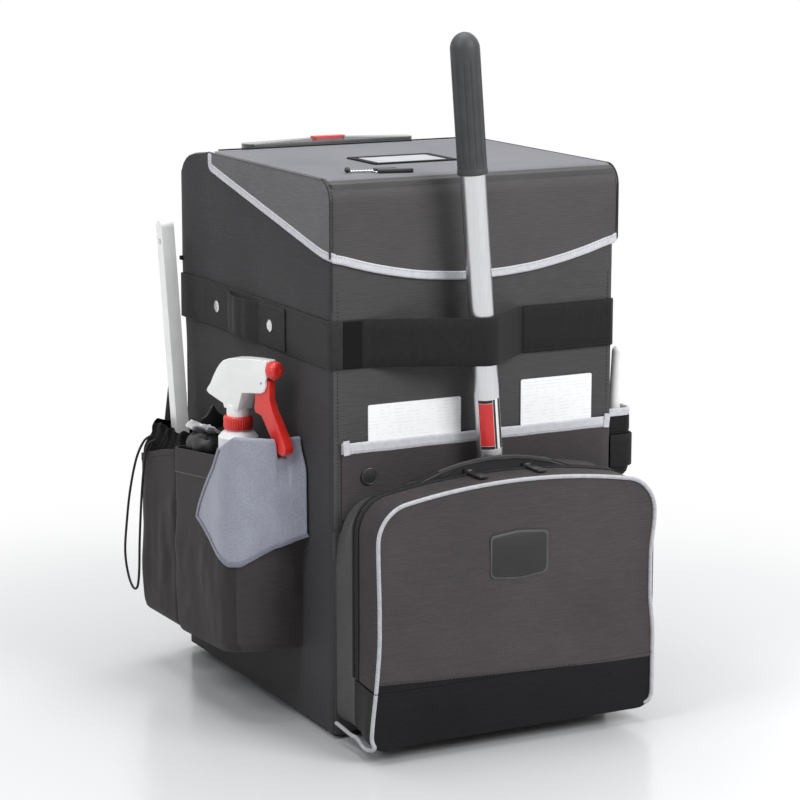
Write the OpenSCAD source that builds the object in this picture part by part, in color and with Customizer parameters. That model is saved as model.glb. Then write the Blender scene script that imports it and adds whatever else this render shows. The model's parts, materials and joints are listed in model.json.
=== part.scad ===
// Soft-sided housekeeping cart with a hinged lid, pull handle, wheels, pockets and stowed tools.
// Millimetres. +X is the cart's right side, -Y its front, +Z up, and the floor is at z = 0.

/* [Box] */
// Outside width of the box
body_w = 358; // [340:1:380]
// Outside depth of the box
body_d = 416; // [400:1:440]
// Height of the box walls above the underside
body_h = 619; // [600:1:660]
// Thickness of the padded walls
wall_t = 5; // [4:0.5:7]
// Rounding of the upright outside edges
edge_r = 4.5; // [2:0.5:4.5]
// Gap between the underside and the floor
ground_gap = 8; // [6:1:12]
// Depth of the fixed section behind the lid
shoulder_d = 87; // [80:1:100]
// Rounding of the rear top edge
shoulder_r = 45; // [35:1:55]
// Thickness of the stitched-on webbing
webbing_t = 2.5; // [2:0.5:3.5]
// Width of the webbing belt and strap
webbing_w = 54; // [45:1:60]
// Height of the middle of the webbing above the underside
webbing_z = 441.5; // [430:0.5:455]

/* [Lid] */
// Thickness of the lid's top
lid_t = 4; // [3:0.5:6]
// Thickness of the lid's skirt
skirt_t = 3; // [2:0.5:4]
// Gap between the skirt and the box
skirt_gap = 0.6; // [0.4:0.1:1.5]
// Depth of the skirt at the front corners
skirt_corner_drop = 88; // [70:1:95]
// Extra depth of the skirt in the middle of the front
skirt_sag = 31; // [15:1:36]
// Depth of the skirt at the hinge
skirt_rear_drop = 21; // [15:1:30]
// Width of the grey binding
binding_w = 10; // [6:1:14]
// Length of the window pocket on the lid
window_w = 108; // [80:1:120]
// Depth of the window pocket on the lid
window_d = 76; // [60:1:90]
// Thickness of the stiffener below the lid's top
board_t = 3.2; // [2:0.2:4]

/* [Front pocket] */
// Width of the zip pocket
pocket_w = 350; // [320:1:352]
// How far the zip pocket stands out from the box
pocket_d = 103.5; // [90:0.5:115]
// Depth of the open sleeve behind the zip pocket
sleeve_d = 46.6; // [44:0.2:52]
// Height of the zip pocket's underside
pocket_z = 11; // [8:1:20]
// Height of the zip pocket's front panel at its middle
pocket_top = 295; // [288:1:298]
// Height of the sleeve's edge at its middle
sleeve_top = 308; // [302:1:311]
// Height of the seam where the panel folds down
fold_z = 75; // [60:1:90]
// Rounding of the panel's upper corners
pocket_r = 42; // [30:1:60]
// Rounding of the panel's lower corners
pocket_low_r = 18; // [10:1:30]
// Thickness of the pocket's cloth
cloth_t = 2.5; // [2:0.5:4]
// Width of the mouth that the pole goes into
mouth_w = 140; // [100:5:180]
// Thickness of the piping
piping_t = 4; // [3:0.5:5]

/* [Slip pocket] */
// Height of the slip pocket's upper edge
slip_top = 332; // [325:1:340]
// Height of the slip pocket's lower edge
slip_low = 245; // [230:1:260]
// Width of the slip pocket
slip_w = 342; // [320:1:350]
// Width of the grey trim
trim_w = 12; // [8:1:16]
// Thickness of a card
card_t = 1.5; // [1:0.1:2]
// Width of the left card
card_left_w = 116; // [90:1:120]
// Width of the right card
card_right_w = 93; // [80:1:100]

/* [Side pockets] */
// Depth of the bottle pocket
bottle_pocket_d = 79.5; // [78:0.5:86]
// Length of the bottle pocket along the side
bottle_pocket_w = 190; // [184:1:192]
// Depth of the drawstring pocket
drawstring_pocket_d = 70; // [66:0.5:74]
// Length of the drawstring pocket along the side
drawstring_pocket_w = 130; // [116:1:134]
// Depth of the tube pocket on the right side
tube_pocket_d = 34; // [32:0.5:38]
// Width of the tube pocket on the right side
tube_pocket_w = 36; // [32:1:42]

/* [Pull handle] */
// Distance between the two tubes
tube_pitch = 190; // [170:1:200]
// Outside diameter of the moving tubes
tube_dia = 20; // [18:0.5:22]
// Wall of the tubes
tube_wall = 1.5; // [1:0.1:2]
// Radial clearance between the tubes and their guides
tube_fit = 0.3; // [0.2:0.05:0.4]
// How far the handle pulls out
handle_travel = 430; // [350:5:450]
// Width of the hand grip
grip_w = 228; // [216:1:236]
// Depth of the hand grip
grip_d = 26; // [25:0.5:30]
// Thickness of the hand grip
grip_h = 16; // [14:0.5:18]
// Width of the release button
button_w = 45; // [30:1:60]
// Travel of the release button
button_travel = 4; // [2:0.5:4.5]

/* [Wheels] */
// Diameter of the wheels
wheel_dia = 76; // [72:1:80]
// Width of the tyres
tyre_w = 26; // [20:1:28]
// Thickness of the tyres
tyre_t = 8; // [5:0.5:10]
// Diameter of the axles
axle_dia = 10; // [8:0.5:12]
// Radial clearance of the wheels on their axles
axle_fit = 0.06; // [0.02:0.01:0.1]
// How far the wheels stand out behind the box
wheel_proud = 6; // [2:1:10]
// Wall of the wheel housings
housing_t = 3; // [2:0.5:4]

/* [Mop pole] */
// Diameter of the pole
pole_dia = 28.6; // [25:0.2:30]
// Length of the pole
pole_len = 771; // [700:1:800]
// Length of the pole's grip
pole_grip_len = 156; // [100:1:170]
// Diameter of the pole's grip
pole_grip_dia = 34; // [32:0.5:34.5]
// Lean of the pole towards the left
pole_lean_left = 5.5; // [4.5:0.1:6]
// Lean of the pole towards the front
pole_lean_front = 2.2; // [2.2:0.1:2.3]

/* [Spray bottle] */
// Diameter of the bottle
bottle_dia = 58; // [50:1:58]
// Height of the bottle up to its step
bottle_h = 230.5; // [224:0.5:232]
// Diameter of the screw collar
collar_dia = 34; // [31:0.5:38]
// Height of the screw collar
collar_h = 15.5; // [14:0.5:20]
// Angle between the sprayer's aim and straight ahead
spray_turn = 15.3; // [10:0.1:18]
// Thickness of the spray head
head_t = 22; // [20:1:24]

/* [Hand tools] */
// Width of the brush's handle
brush_w = 18; // [16:1:22]
// Thickness of the brush's handle
brush_t = 16; // [10:1:18]
// Length of the brush's handle
brush_len = 385; // [340:1:400]
// Lean of the brush towards the rear
brush_lean = 5.3; // [3:0.1:6]
// Lean of the brush towards the left
brush_lean_left = 1.5; // [0:0.1:2]
// Diameter of the slim tool on the right
wand_dia = 14; // [10:1:16]
// Length of the slim tool on the right
wand_len = 150; // [120:1:160]

/* [Hidden] */

$fn = 64;
seat = 0.3;          // gap between a piece and what it rests on
eps = 1;             // how far a cut runs past a face
divider_t = 2;       // wall between the sleeve and the zip pocket

// Box
x_side = body_w / 2;
x_in = x_side - wall_t;
y_front = -body_d / 2;
y_rear = body_d / 2;
y_in_front = y_front + wall_t;
y_in_rear = y_rear - wall_t;
y_hinge = y_rear - shoulder_d;
lid_low = body_h + seat;
lid_high = lid_low + lid_t;
shoulder_y = y_rear - shoulder_r;
shoulder_z = body_h - 1 - shoulder_r;
belt_low = webbing_z - webbing_w / 2;
belt_high = webbing_z + webbing_w / 2;

guide_wall = 2;
guide_r = tube_dia / 2 + tube_fit + guide_wall;
pole_r = pole_dia / 2;
pole_tilt = acos(cos(pole_lean_left) * cos(pole_lean_front));

// Overall reach, used to put the origin in the middle of the footprint
reach_left = x_side + bottle_pocket_d + 4;
reach_right = x_side + tube_pocket_d + 4;
reach_front = body_d / 2 + pocket_d + 3;
reach_rear = body_d / 2 + wheel_proud;
origin_x = (reach_left - reach_right) / 2;
origin_y = (reach_front - reach_rear) / 2;

// Colours
charcoal = "#4c4a4b";
black = "#262627";
grey = "#c6c6cc";
red = "#d8262a";
white = "#f2f2f0";
metal = "#c9cbcf";

// ---------- helpers ----------

module in_frame() translate([origin_x, origin_y, ground_gap]) children();

// A (Y, Z) outline swept along +X from x to x + t
module sweep_x(x, t) translate([x, 0, 0]) rotate([90, 0, 90]) linear_extrude(t) children();

// An (X, Z) outline swept along +Y from y to y + t
module sweep_y(y, t) translate([0, y + t, 0]) rotate([90, 0, 0]) linear_extrude(t) children();

module box(x0, x1, y0, y1, z0, z1) translate([x0, y0, z0]) cube([x1 - x0, y1 - y0, z1 - z0]);

module rounded_square(x0, x1, y0, y1, r) {
  translate([x0 + r, y0]) square([x1 - x0 - 2 * r, y1 - y0]);
  translate([x0, y0 + r]) square([x1 - x0, y1 - y0 - 2 * r]);
  for (x = [x0 + r, x1 - r], y = [y0 + r, y1 - r]) translate([x, y]) circle(r);
}

module rounded_box(x0, x1, y0, y1, z0, z1, r)
  translate([0, 0, z0]) linear_extrude(z1 - z0) rounded_square(x0, x1, y0, y1, r);

module tube_z(r_out, r_in, z0, z1) translate([0, 0, z0]) difference() {
  cylinder(r = r_out, h = z1 - z0);
  translate([0, 0, -eps]) cylinder(r = r_in, h = z1 - z0 + 2 * eps);
}

module both_sides() {
  children();
  mirror([1, 0, 0]) children();
}

// ---------- box ----------

// Side outline of the box: level under the lid, then over the rounded shoulder
module side_outline(inset) {
  translate([y_front, 0]) square([y_hinge - y_front, body_h - inset]);
  polygon([[y_hinge, 0], [y_hinge, lid_high - inset], [shoulder_y, body_h - 1 - inset],
    [shoulder_y, 0]]);
  translate([shoulder_y, 0]) square([shoulder_r - inset, shoulder_z]);
  translate([shoulder_y, shoulder_z]) circle(shoulder_r - inset);
}

module side_walls() in_frame() color(charcoal) both_sides() intersection() {
  sweep_x(x_in, wall_t) side_outline(0);
  rounded_box(-x_side, x_side, y_front, y_rear, 0, lid_high + eps, edge_r);
}

module front_wall() in_frame() color(charcoal)
  box(-x_in, x_in, y_front, y_in_front, 0, body_h);

module rear_wall() in_frame() color(charcoal) difference() {
  box(-x_in, x_in, y_in_rear, y_rear, 0, shoulder_z);
  both_sides() box(housing_x0, x_in + eps, y_in_rear - eps, y_rear + eps, -eps, housing_h);
}

shoulder_lip_h = 23;
module shoulder_cover() in_frame() color(charcoal) difference() {
  union() {
    intersection() {
      difference() {
        sweep_x(-x_in, 2 * x_in) side_outline(0);
        sweep_x(-x_side, 2 * x_side) side_outline(wall_t);
      }
      box(-x_in, x_in, y_hinge, y_rear, shoulder_z, lid_high);
    }
    box(-x_in, x_in, y_hinge, y_hinge + 3, lid_high - shoulder_lip_h, lid_high - wall_t / 2);
  }
  box(-bezel_w / 2 - seat, bezel_w / 2 + seat, grip_y - bezel_d / 2 - seat,
    grip_y + bezel_d / 2 + seat, shoulder_z - eps, lid_high + eps);
  box(-scoop_w / 2, scoop_w / 2, grip_y, y_rear + eps, bezel_top - scoop_h, lid_high + eps);
}

frame_h = 12;
frame_t = 5;
frame_top = body_h - board_t - 1;
module mouth_frame() in_frame() color(black) difference() {
  box(-x_in, x_in, y_in_front, y_hinge, frame_top - frame_h, frame_top);
  box(-x_in + frame_t, x_in - frame_t, y_in_front + frame_t, y_hinge - frame_t,
    frame_top - frame_h - eps, frame_top + eps);
}

liner_y = 148;
module rear_liner() in_frame() color(black) difference() {
  box(-x_in + 3, x_in - 3, liner_y, liner_y + 2, tray_t, frame_top - frame_h);
  both_sides() box(housing_x0, x_in + eps, liner_y - eps, liner_y + 2 + eps, tray_t - eps, housing_h);
}

// ---------- base and wheels ----------

tray_t = 4;
tray_rim = 30;
wheel_r = wheel_dia / 2;
wheel_y = y_rear + wheel_proud - wheel_r;
wheel_z = wheel_r - ground_gap;
housing_x1 = x_in;
housing_in = housing_x1 - housing_t;
hub_len = tyre_w + 11;
housing_x0 = housing_in - hub_len - 2 * seat - housing_t;
wheel_x = housing_in - seat - hub_len / 2;
housing_y0 = wheel_y - wheel_r - 7;
housing_h = wheel_z + wheel_r + 7;
boss_r = tube_dia / 2 + tube_fit + guide_wall + 3.5;

module housing_space(grow) both_sides()
  box(housing_x0, x_in + eps, housing_y0 - grow, y_rear + eps, -eps, housing_h);

module base_tray() in_frame() color(black) difference() {
  union() {
    difference() {
      box(-x_in, x_in, y_in_front, y_in_rear, 0, tray_rim);
      box(-x_in + 3, x_in - 3, y_in_front + 3, y_in_rear - 3, tray_t, tray_rim + eps);
    }
    for (x = [-1, 1]) translate([x * tube_pitch / 2, grip_y, 0]) cylinder(r = boss_r, h = tray_rim + 4);
  }
  for (x = [-1, 1]) translate([x * tube_pitch / 2, grip_y, guide_low]) cylinder(r = guide_r, h = 60);
  housing_space(0);
}

foot_r = 15;
foot_x = x_side - foot_r - 4;
foot_y = y_front + foot_r + 3;
module glide_feet() in_frame() color(black) for (x = [-1, 1])
  translate([x * foot_x, foot_y, -ground_gap]) rotate_extrude()
    polygon([[0, 0], [foot_r - 3, 0], [foot_r, 3], [foot_r, ground_gap], [0, ground_gap]]);

module wheel_housings() in_frame() color(black) both_sides() difference() {
  box(housing_x0, housing_x1, housing_y0, y_rear, 0, housing_h);
  box(housing_x0 + housing_t, housing_in, housing_y0 + housing_t, y_rear + eps,
    -eps, housing_h - housing_t);
  axle_hole();
}

module axle_hole() translate([housing_x0 - eps, wheel_y, wheel_z]) rotate([0, 90, 0])
  cylinder(d = axle_dia, h = housing_x1 - housing_x0 + 2 * eps);

axle_head = 3;
module wheel_axles() in_frame() color(metal) both_sides()
  translate([housing_x0 - axle_head, wheel_y, wheel_z]) rotate([0, 90, 0]) {
    cylinder(d = axle_dia, h = housing_x1 - housing_x0 + axle_head);
    cylinder(d = axle_dia + 8, h = axle_head);
  }

// A wheel's own axis is Z here; the tyre sits on the hub's rim
module tyre() rotate_extrude() polygon([[wheel_r - tyre_t, -tyre_w / 2], [wheel_r - 3, -tyre_w / 2],
  [wheel_r, -tyre_w / 2 + 4], [wheel_r, tyre_w / 2 - 4], [wheel_r - 3, tyre_w / 2],
  [wheel_r - tyre_t, tyre_w / 2]]);

hub_web = 8;
hub_boss = axle_dia / 2 + 5;
module hub() rotate_extrude() polygon([[axle_dia / 2 + axle_fit, -hub_len / 2], [hub_boss, -hub_len / 2],
  [hub_boss, -hub_web / 2], [wheel_r - tyre_t - 4, -hub_web / 2], [wheel_r - tyre_t - 4, -tyre_w / 2],
  [wheel_r - tyre_t, -tyre_w / 2], [wheel_r - tyre_t, tyre_w / 2], [wheel_r - tyre_t - 4, tyre_w / 2],
  [wheel_r - tyre_t - 4, hub_web / 2], [hub_boss, hub_web / 2], [hub_boss, hub_len / 2],
  [axle_dia / 2 + axle_fit, hub_len / 2]]);

module at_wheel(side) in_frame() translate([side * wheel_x, wheel_y, wheel_z]) rotate([0, 90, 0]) children();

module tyre_left() at_wheel(-1) color(black) tyre();
module hub_left() at_wheel(-1) color(grey) hub();
module tyre_right() at_wheel(1) color(black) tyre();
module hub_right() at_wheel(1) color(grey) hub();

// ---------- pull handle ----------

guide_low = 10;
grip_y = 174;
bezel_w = grip_w + 10;
bezel_d = grip_d + 8;
bezel_top = body_h - 7;
bezel_low = bezel_top - 24;
grip_low = bezel_top + seat;
grip_top = grip_low + grip_h;
tube_low = 45;
tube_socket = 7;
scoop_w = 100;
scoop_h = 12;

module at_tubes() for (x = [-1, 1]) translate([x * tube_pitch / 2, grip_y, 0]) children();

module handle_guides() in_frame() color(metal) at_tubes()
  tube_z(guide_r, tube_dia / 2 + tube_fit, guide_low, bezel_low);

module handle_bezel() in_frame() color(black) difference() {
  rounded_box(-bezel_w / 2, bezel_w / 2, grip_y - bezel_d / 2, grip_y + bezel_d / 2,
    bezel_low, bezel_top, 8);
  at_tubes() translate([0, 0, bezel_low - eps]) cylinder(r = tube_dia / 2 + tube_fit, h = 60);
  box(-scoop_w / 2, scoop_w / 2, grip_y - grip_d / 2, grip_y + bezel_d, bezel_top - scoop_h,
    bezel_top + eps);
}

link_h = 4;
link_low = grip_low + tube_socket + 1;
module button_link(grow, drop) {
  box(-tube_pitch / 2 - 4 - grow, tube_pitch / 2 + 4 + grow, grip_y - 2 - grow, grip_y + 2 + grow,
    link_low - drop, link_low + link_h + grow);
  rounded_box(-button_w / 2 - grow, button_w / 2 + grow, grip_y - 6 - grow, grip_y + 6 + grow,
    link_low - drop, grip_top + 2, 5);
}

module handle_grip() in_frame() color("#9a9c9e") difference() {
  rounded_box(-grip_w / 2, grip_w / 2, grip_y - grip_d / 2, grip_y + grip_d / 2,
    grip_low, grip_top, 11);
  at_tubes() translate([0, 0, grip_low - eps]) cylinder(d = tube_dia, h = tube_socket + eps);
  at_tubes() translate([0, 0, grip_low]) cylinder(r = rod_r + seat, h = link_low + 1 + seat - grip_low);
  button_link(seat, button_travel + 0.5);
}

module handle_tubes() in_frame() color(metal) at_tubes()
  tube_z(tube_dia / 2, tube_dia / 2 - tube_wall, tube_low, grip_low + tube_socket - button_travel);

rod_r = 3;
module handle_button() in_frame() color(red) {
  button_link(0, 0);
  at_tubes() translate([0, 0, tube_low + 15]) cylinder(r = rod_r, h = link_low - tube_low - 15 + 1);
}

// ---------- belts, carry handles and strap ----------

belt_x = x_side + webbing_t;
patch_t = 2;
handle_y = 21.5;
handle_span = 97;
handle_rise = 12;
handle_w = 50;
handle_t = 3.5;
patch_len = 67;

module side_belts() in_frame() color(black) both_sides()
  box(x_side, belt_x, y_front + edge_r, y_rear - edge_r, belt_low, belt_high);

// Each handle is a bowed strap between two stitched patches
bow_r = (handle_span * handle_span / 4 + handle_rise * handle_rise) / (2 * handle_rise);
module carry_handles() in_frame() color(charcoal) both_sides() {
  for (s = [-1, 1]) translate([belt_x, handle_y + s * ((handle_span + patch_len) / 2 - 2), webbing_z])
    translate([0, -patch_len / 2 - 2, -handle_w / 2]) cube([patch_t, patch_len + 4, handle_w]);
  intersection() {
    translate([belt_x + handle_rise - bow_r, handle_y, 0])
      tube_z(bow_r, bow_r - handle_t, webbing_z - handle_w / 2, webbing_z + handle_w / 2);
    box(belt_x, belt_x + handle_rise + eps, handle_y - body_d, handle_y + body_d, 0, body_h);
  }
}

rivet_r = 7;
rivet_out = 27.5;
module handle_rivets() in_frame() color(metal) both_sides() for (s = [-1, 1])
  translate([belt_x + patch_t, handle_y + s * (handle_span / 2 + rivet_out), webbing_z])
    rotate([0, 90, 0]) rotate_extrude()
      polygon([[0, 0], [rivet_r, 0], [rivet_r, 0.8], [rivet_r - 2, 1.8], [0, 2]]);

// The pole's axis in plan at a height above the underside
pole_foot = [30.8, y_front - 18.7, pocket_z + cloth_t + seat + pole_r * sin(pole_tilt)];
pole_dir = [-cos(pole_lean_front) * sin(pole_lean_left), -sin(pole_lean_front),
  cos(pole_lean_front) * cos(pole_lean_left)];
function pole_at(z) = let(s = (z - pole_foot[2]) / pole_dir[2])
  [pole_foot[0] + s * pole_dir[0], pole_foot[1] + s * pole_dir[1]];

// Strap: flat on the box, bowed round the pole between the two points where it leaves the box
strap_left = -166;
strap_leave = -129;
strap_meet = 55;
strap_c = pole_at(webbing_z);
strap_r = pole_r + webbing_w / 2 * tan(pole_tilt) + seat;
function polar(a, r) = [strap_c[0] + r * cos(a), strap_c[1] + r * sin(a)];
function tangent_angle(p, side) = let(d = strap_c - p, l = norm(d))
  atan2(d[1], d[0]) - side * asin(strap_r / l) - side * 90;
a_left = tangent_angle([strap_leave, y_front], 1);
a_right = tangent_angle([strap_meet, y_front], -1);
bow_steps = 4;
bow_step = (a_right + 360 - a_left) % 360 / bow_steps;
function bow(r) = [for (i = [0:bow_steps - 1]) polar(a_left + bow_step * (i + 0.5), r / cos(bow_step / 2))];
function reversed(v) = [for (i = [len(v) - 1:-1:0]) v[i]];
module front_strap() in_frame() color(black) translate([0, 0, belt_low]) linear_extrude(webbing_w)
  polygon(concat([[strap_left, y_front], [strap_leave, y_front]], bow(strap_r),
    [[strap_meet, y_front], [x_side - edge_r, y_front], [x_side - edge_r, y_front - webbing_t],
    [strap_meet - 1, y_front - webbing_t]], reversed(bow(strap_r + webbing_t)),
    [[strap_leave + 1, y_front - webbing_t], [strap_left, y_front - webbing_t]]));

// ---------- slip pocket and cards ----------

slip_x = 3;
card_r = 2;
card_left_x = -77.5;
card_left_top = 372;
card_right_x = 104.5;
card_right_top = 384;
slip_gap = card_t + 2 * seat + 0.2;
slip_t = 1.5;
module slip_cavity(z1) box(slip_x - slip_w / 2 + 4, slip_x + slip_w / 2 - 4, y_front - slip_gap,
  y_front + eps, slip_low + 5, z1);

module slip_pocket() in_frame() color(charcoal) difference() {
  box(slip_x - slip_w / 2, slip_x + slip_w / 2, y_front - slip_gap - slip_t, y_front,
    slip_low, slip_top - trim_w);
  slip_cavity(slip_top + eps);
}

module pocket_trims() in_frame() color(grey) {
  difference() {
    box(slip_x - slip_w / 2, slip_x + slip_w / 2, y_front - slip_gap - slip_t - 0.6, y_front,
      slip_top - trim_w, slip_top);
    slip_cavity(slip_top + eps);
  }
  difference() {
    tube_pocket_solid(0.6, tube_top - trim_w, tube_top);
    tube_pocket_solid(0, tube_top - trim_w - eps, tube_top + eps);
  }
}

module card(x, w, z1) {
  card_low = slip_low + 5 + seat;
  box(x - w / 2, x + w / 2, y_front - seat - card_t, y_front - seat, card_low, z1 - card_r);
  box(x - w / 2 + card_r, x + w / 2 - card_r, y_front - seat - card_t, y_front - seat, card_low, z1);
  for (s = [-1, 1]) translate([x + s * (w / 2 - card_r), y_front - seat, z1 - card_r]) rotate([90, 0, 0])
    cylinder(r = card_r, h = card_t);
}
module card_left() in_frame() color(white) card(card_left_x, card_left_w, card_left_top);
module card_right() in_frame() color(white) card(card_right_x, card_right_w, card_right_top);

// ---------- zip pocket ----------

y_split = y_front - sleeve_d;
y_panel = y_front - pocket_d;
zip_w = 5.4;
crown_r = 776;
crown_c = pocket_top - crown_r;
corner_x = pocket_w / 2 - pocket_r;
corner_c = crown_c + sqrt((crown_r - pocket_r) * (crown_r - pocket_r) - corner_x * corner_x);
low_x = pocket_w / 2 - pocket_low_r;
low_c = pocket_z + pocket_low_r;
sleeve_r = 255;

// Front outline: rounded corners that run smoothly into a gentle crown
module panel_outline(inset) {
  run = corner_x * (crown_r - inset) / (crown_r - pocket_r);
  translate([-pocket_w / 2 + inset, low_c]) square([pocket_w - 2 * inset, corner_c - low_c]);
  translate([-low_x, pocket_z + inset]) square([2 * low_x, corner_c - low_c]);
  for (x = [-1, 1]) {
    translate([x * low_x, low_c]) circle(pocket_low_r - inset);
    translate([x * corner_x, corner_c]) circle(pocket_r - inset);
  }
  intersection() {
    translate([-run, corner_c - 10]) square([2 * run, pocket_top]);
    translate([0, crown_c]) circle(crown_r - inset, $fn = 360);
  }
}

// The sleeve behind it follows the same outline with a higher middle
module sleeve_outline(inset) {
  panel_outline(inset);
  intersection() {
    translate([-corner_x, corner_c - 10]) square([2 * corner_x, pocket_top]);
    translate([0, sleeve_top - sleeve_r]) circle(sleeve_r - inset, $fn = 360);
  }
}

module pole_sleeve() in_frame() color(charcoal) difference() {
  sweep_y(y_split, sleeve_d) sleeve_outline(0);
  sweep_y(y_split + divider_t, sleeve_d) sleeve_outline(cloth_t);
  box(-mouth_w / 2, mouth_w / 2, y_split + divider_t, y_front + eps, corner_c, sleeve_top + eps);
  box(slip_x - slip_w / 2 - seat, slip_x + slip_w / 2 + seat, y_front - slip_gap - slip_t - seat,
    y_front + eps, slip_low - seat, sleeve_top + eps);
}

module piping() difference() {
  sweep_y(y_panel - piping_t / 2, piping_t) panel_outline(-piping_t / 2);
  sweep_y(y_panel - piping_t, 2 * piping_t) panel_outline(0);
}

// Lower, fixed part of the zip pocket
module pocket_boot() in_frame() color(black) intersection() {
  union() {
    difference() {
      sweep_y(y_panel, y_split - seat - y_panel) panel_outline(0);
      sweep_y(y_panel + cloth_t, pocket_d) panel_outline(cloth_t);
    }
    piping();
  }
  box(-body_w, body_w, y_panel - 10, y_split, 0, fold_z - seat);
}

module above_fold() box(-body_w, body_w, y_panel - 10, y_split + 10, fold_z, body_h);

module flap_panel() in_frame() color(charcoal) intersection() {
  sweep_y(y_panel, cloth_t) panel_outline(cloth_t);
  above_fold();
}

module flap_gusset() in_frame() color(charcoal) intersection() {
  difference() {
    sweep_y(y_panel, y_split - seat - zip_w - y_panel) panel_outline(0);
    sweep_y(y_panel - eps, pocket_d) panel_outline(cloth_t);
  }
  above_fold();
}

module flap_piping() in_frame() color(grey) intersection() {
  piping();
  above_fold();
}

label_w = 73;
label_x = -3.5;
label_h = 52;
label_z = 210;
module label_patch() in_frame() color(black)
  sweep_y(y_panel - 1.6, 1.6) rounded_square(label_x - label_w / 2, label_x + label_w / 2, label_z - label_h / 2,
    label_z + label_h / 2, 5);

// Zip: a band between the sleeve and the flap, with two sliders near the middle
slider_x = [-34, 40];
slider_w = 12;
pull_len = 34;
pull_w = 11;
pull_t = 2;
bar_r = 0.9;
bar_fit = 0.05;
barrel_r = 2;
bar_y = y_split - zip_w / 2;
bar_up = 3.3;
function crown_z(x) = crown_c + sqrt(crown_r * crown_r - x * x);
module slider(x) translate([x, bar_y, crown_z(x)]) {
  box(-slider_w / 2, slider_w / 2, -zip_w / 2, zip_w / 2, -2, 1);
  for (s = [-1, 1]) box(s * 4.7 - 1.3, s * 4.7 + 1.3, -2, 2, 0, bar_up + 2);
  rotate([0, 90, 0]) translate([-bar_up, 0, -5]) cylinder(r = bar_r, h = 10);
}

module zip_track() in_frame() color(black) {
  intersection() {
    difference() {
      sweep_y(y_split - zip_w, zip_w) panel_outline(0.6);
      sweep_y(y_split - zip_w - eps, zip_w + 2 * eps) panel_outline(2.6);
    }
    box(-body_w, body_w, y_panel, y_split, fold_z, body_h);
  }
  for (x = slider_x) slider(x);
}

module zip_pull(i) translate([slider_x[i], bar_y, crown_z(slider_x[i]) + bar_up]) difference() {
  union() {
    rotate([0, 90, 0]) translate([0, 0, -3.1]) cylinder(r = barrel_r, h = 6.2);
    box(-3.1, 3.1, -8, 0, -pull_t, 0);
    box(-pull_w / 2, pull_w / 2, -pull_len, -5, -pull_t, 0);
  }
  rotate([0, 90, 0]) translate([0, 0, -4]) cylinder(r = bar_r + bar_fit, h = 8);
}
module zip_pull_left() in_frame() color(black) zip_pull(0);
module zip_pull_right() in_frame() color(black) zip_pull(1);

// ---------- side pockets ----------

by0 = -128;
by1 = by0 + bottle_pocket_w;
bx = -x_side - bottle_pocket_d;
corner_r = 50;
back_t = 2;
bottle_floor = 77;
bottle_r = bottle_dia / 2;
bottle_at = [-x_side - 45, by0 + 74];
// Rim heights along the pocket, from the front seam to the rear edge
rim = [[by0 - 1, 322], [by0 + 4, 324], [by0 + 24, 324], [by0 + 44, 310], [by0 + 60, 300], [by1 + 1, 282]];
notch_x = bottle_at[0] + 20;
notch_w = 32;
notch_z = 294;
module bottle_pocket() in_frame() color(charcoal) difference() {
  intersection() {
    sweep_x(bx, bottle_pocket_d) polygon(concat([[by0 - 1, 77], [by0 + 14, 75], [by0 + 60, 68],
      [by1 - 14, 62], [by1 + 1, 76]], [for (i = [len(rim) - 1:-1:0]) rim[i]]));
    pocket_plan(bx, by0, by1, corner_r, 14, 0, 0, body_h);
  }
  intersection() {
    pocket_plan(bx, by0, by1, corner_r, 14, cloth_t, 70, body_h);
    sweep_x(bx, bottle_pocket_d - back_t) polygon([[by0, 86], [by0 + 16, 80], [by0 + 42, bottle_floor],
      [by1 - 12, bottle_floor], [by1, 89], [by1, body_h], [by0, body_h]]);
  }
  box(notch_x - notch_w / 2, notch_x + notch_w / 2, by0 - eps, by0 + 12, notch_z, body_h);
}

// Plan of a bellows pocket on the left side: square to the box, rounded on its outer corners
module pocket_plan(x0, y0, y1, r_front, r_rear, inset, z0, z1)
  translate([0, 0, z0]) linear_extrude(z1 - z0) {
    translate([x0 + r_front, y0 + inset]) square([-x_side - x0 - r_front, y1 - y0 - 2 * inset]);
    translate([x0 + inset, y0 + r_front]) square([r_front, y1 - y0 - r_front - r_rear]);
    translate([x0 + r_rear, y0 + r_front]) square([r_front, y1 - y0 - r_front - inset]);
    translate([x0 + r_front, y0 + r_front]) circle(r_front - inset);
    translate([x0 + r_rear, y1 - r_rear]) circle(r_rear - inset);
  }

dy0 = 66;
dy1 = dy0 + drawstring_pocket_w;
dx = -x_side - drawstring_pocket_d;
drawstring_rim = 260;
drawstring_floor = 64;
module drawstring_pocket() in_frame() color(charcoal) difference() {
  intersection() {
    sweep_x(dx, drawstring_pocket_d) polygon([[dy0, 66], [dy0 + 9, 58], [dy1 - 16, 56], [dy1, 72],
      [dy1, drawstring_rim], [dy0, drawstring_rim]]);
    pocket_plan(dx, dy0, dy1, 16, 16, 0, -eps, body_h);
  }
  intersection() {
    pocket_plan(dx, dy0, dy1, 16, 16, cloth_t, drawstring_floor, body_h);
    sweep_x(dx, drawstring_pocket_d - back_t) polygon([[dy0, 70], [dy0 + 9, drawstring_floor],
      [dy1 - 14, drawstring_floor], [dy1, 79], [dy1, body_h], [dy0, body_h]]);
  }
}

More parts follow.
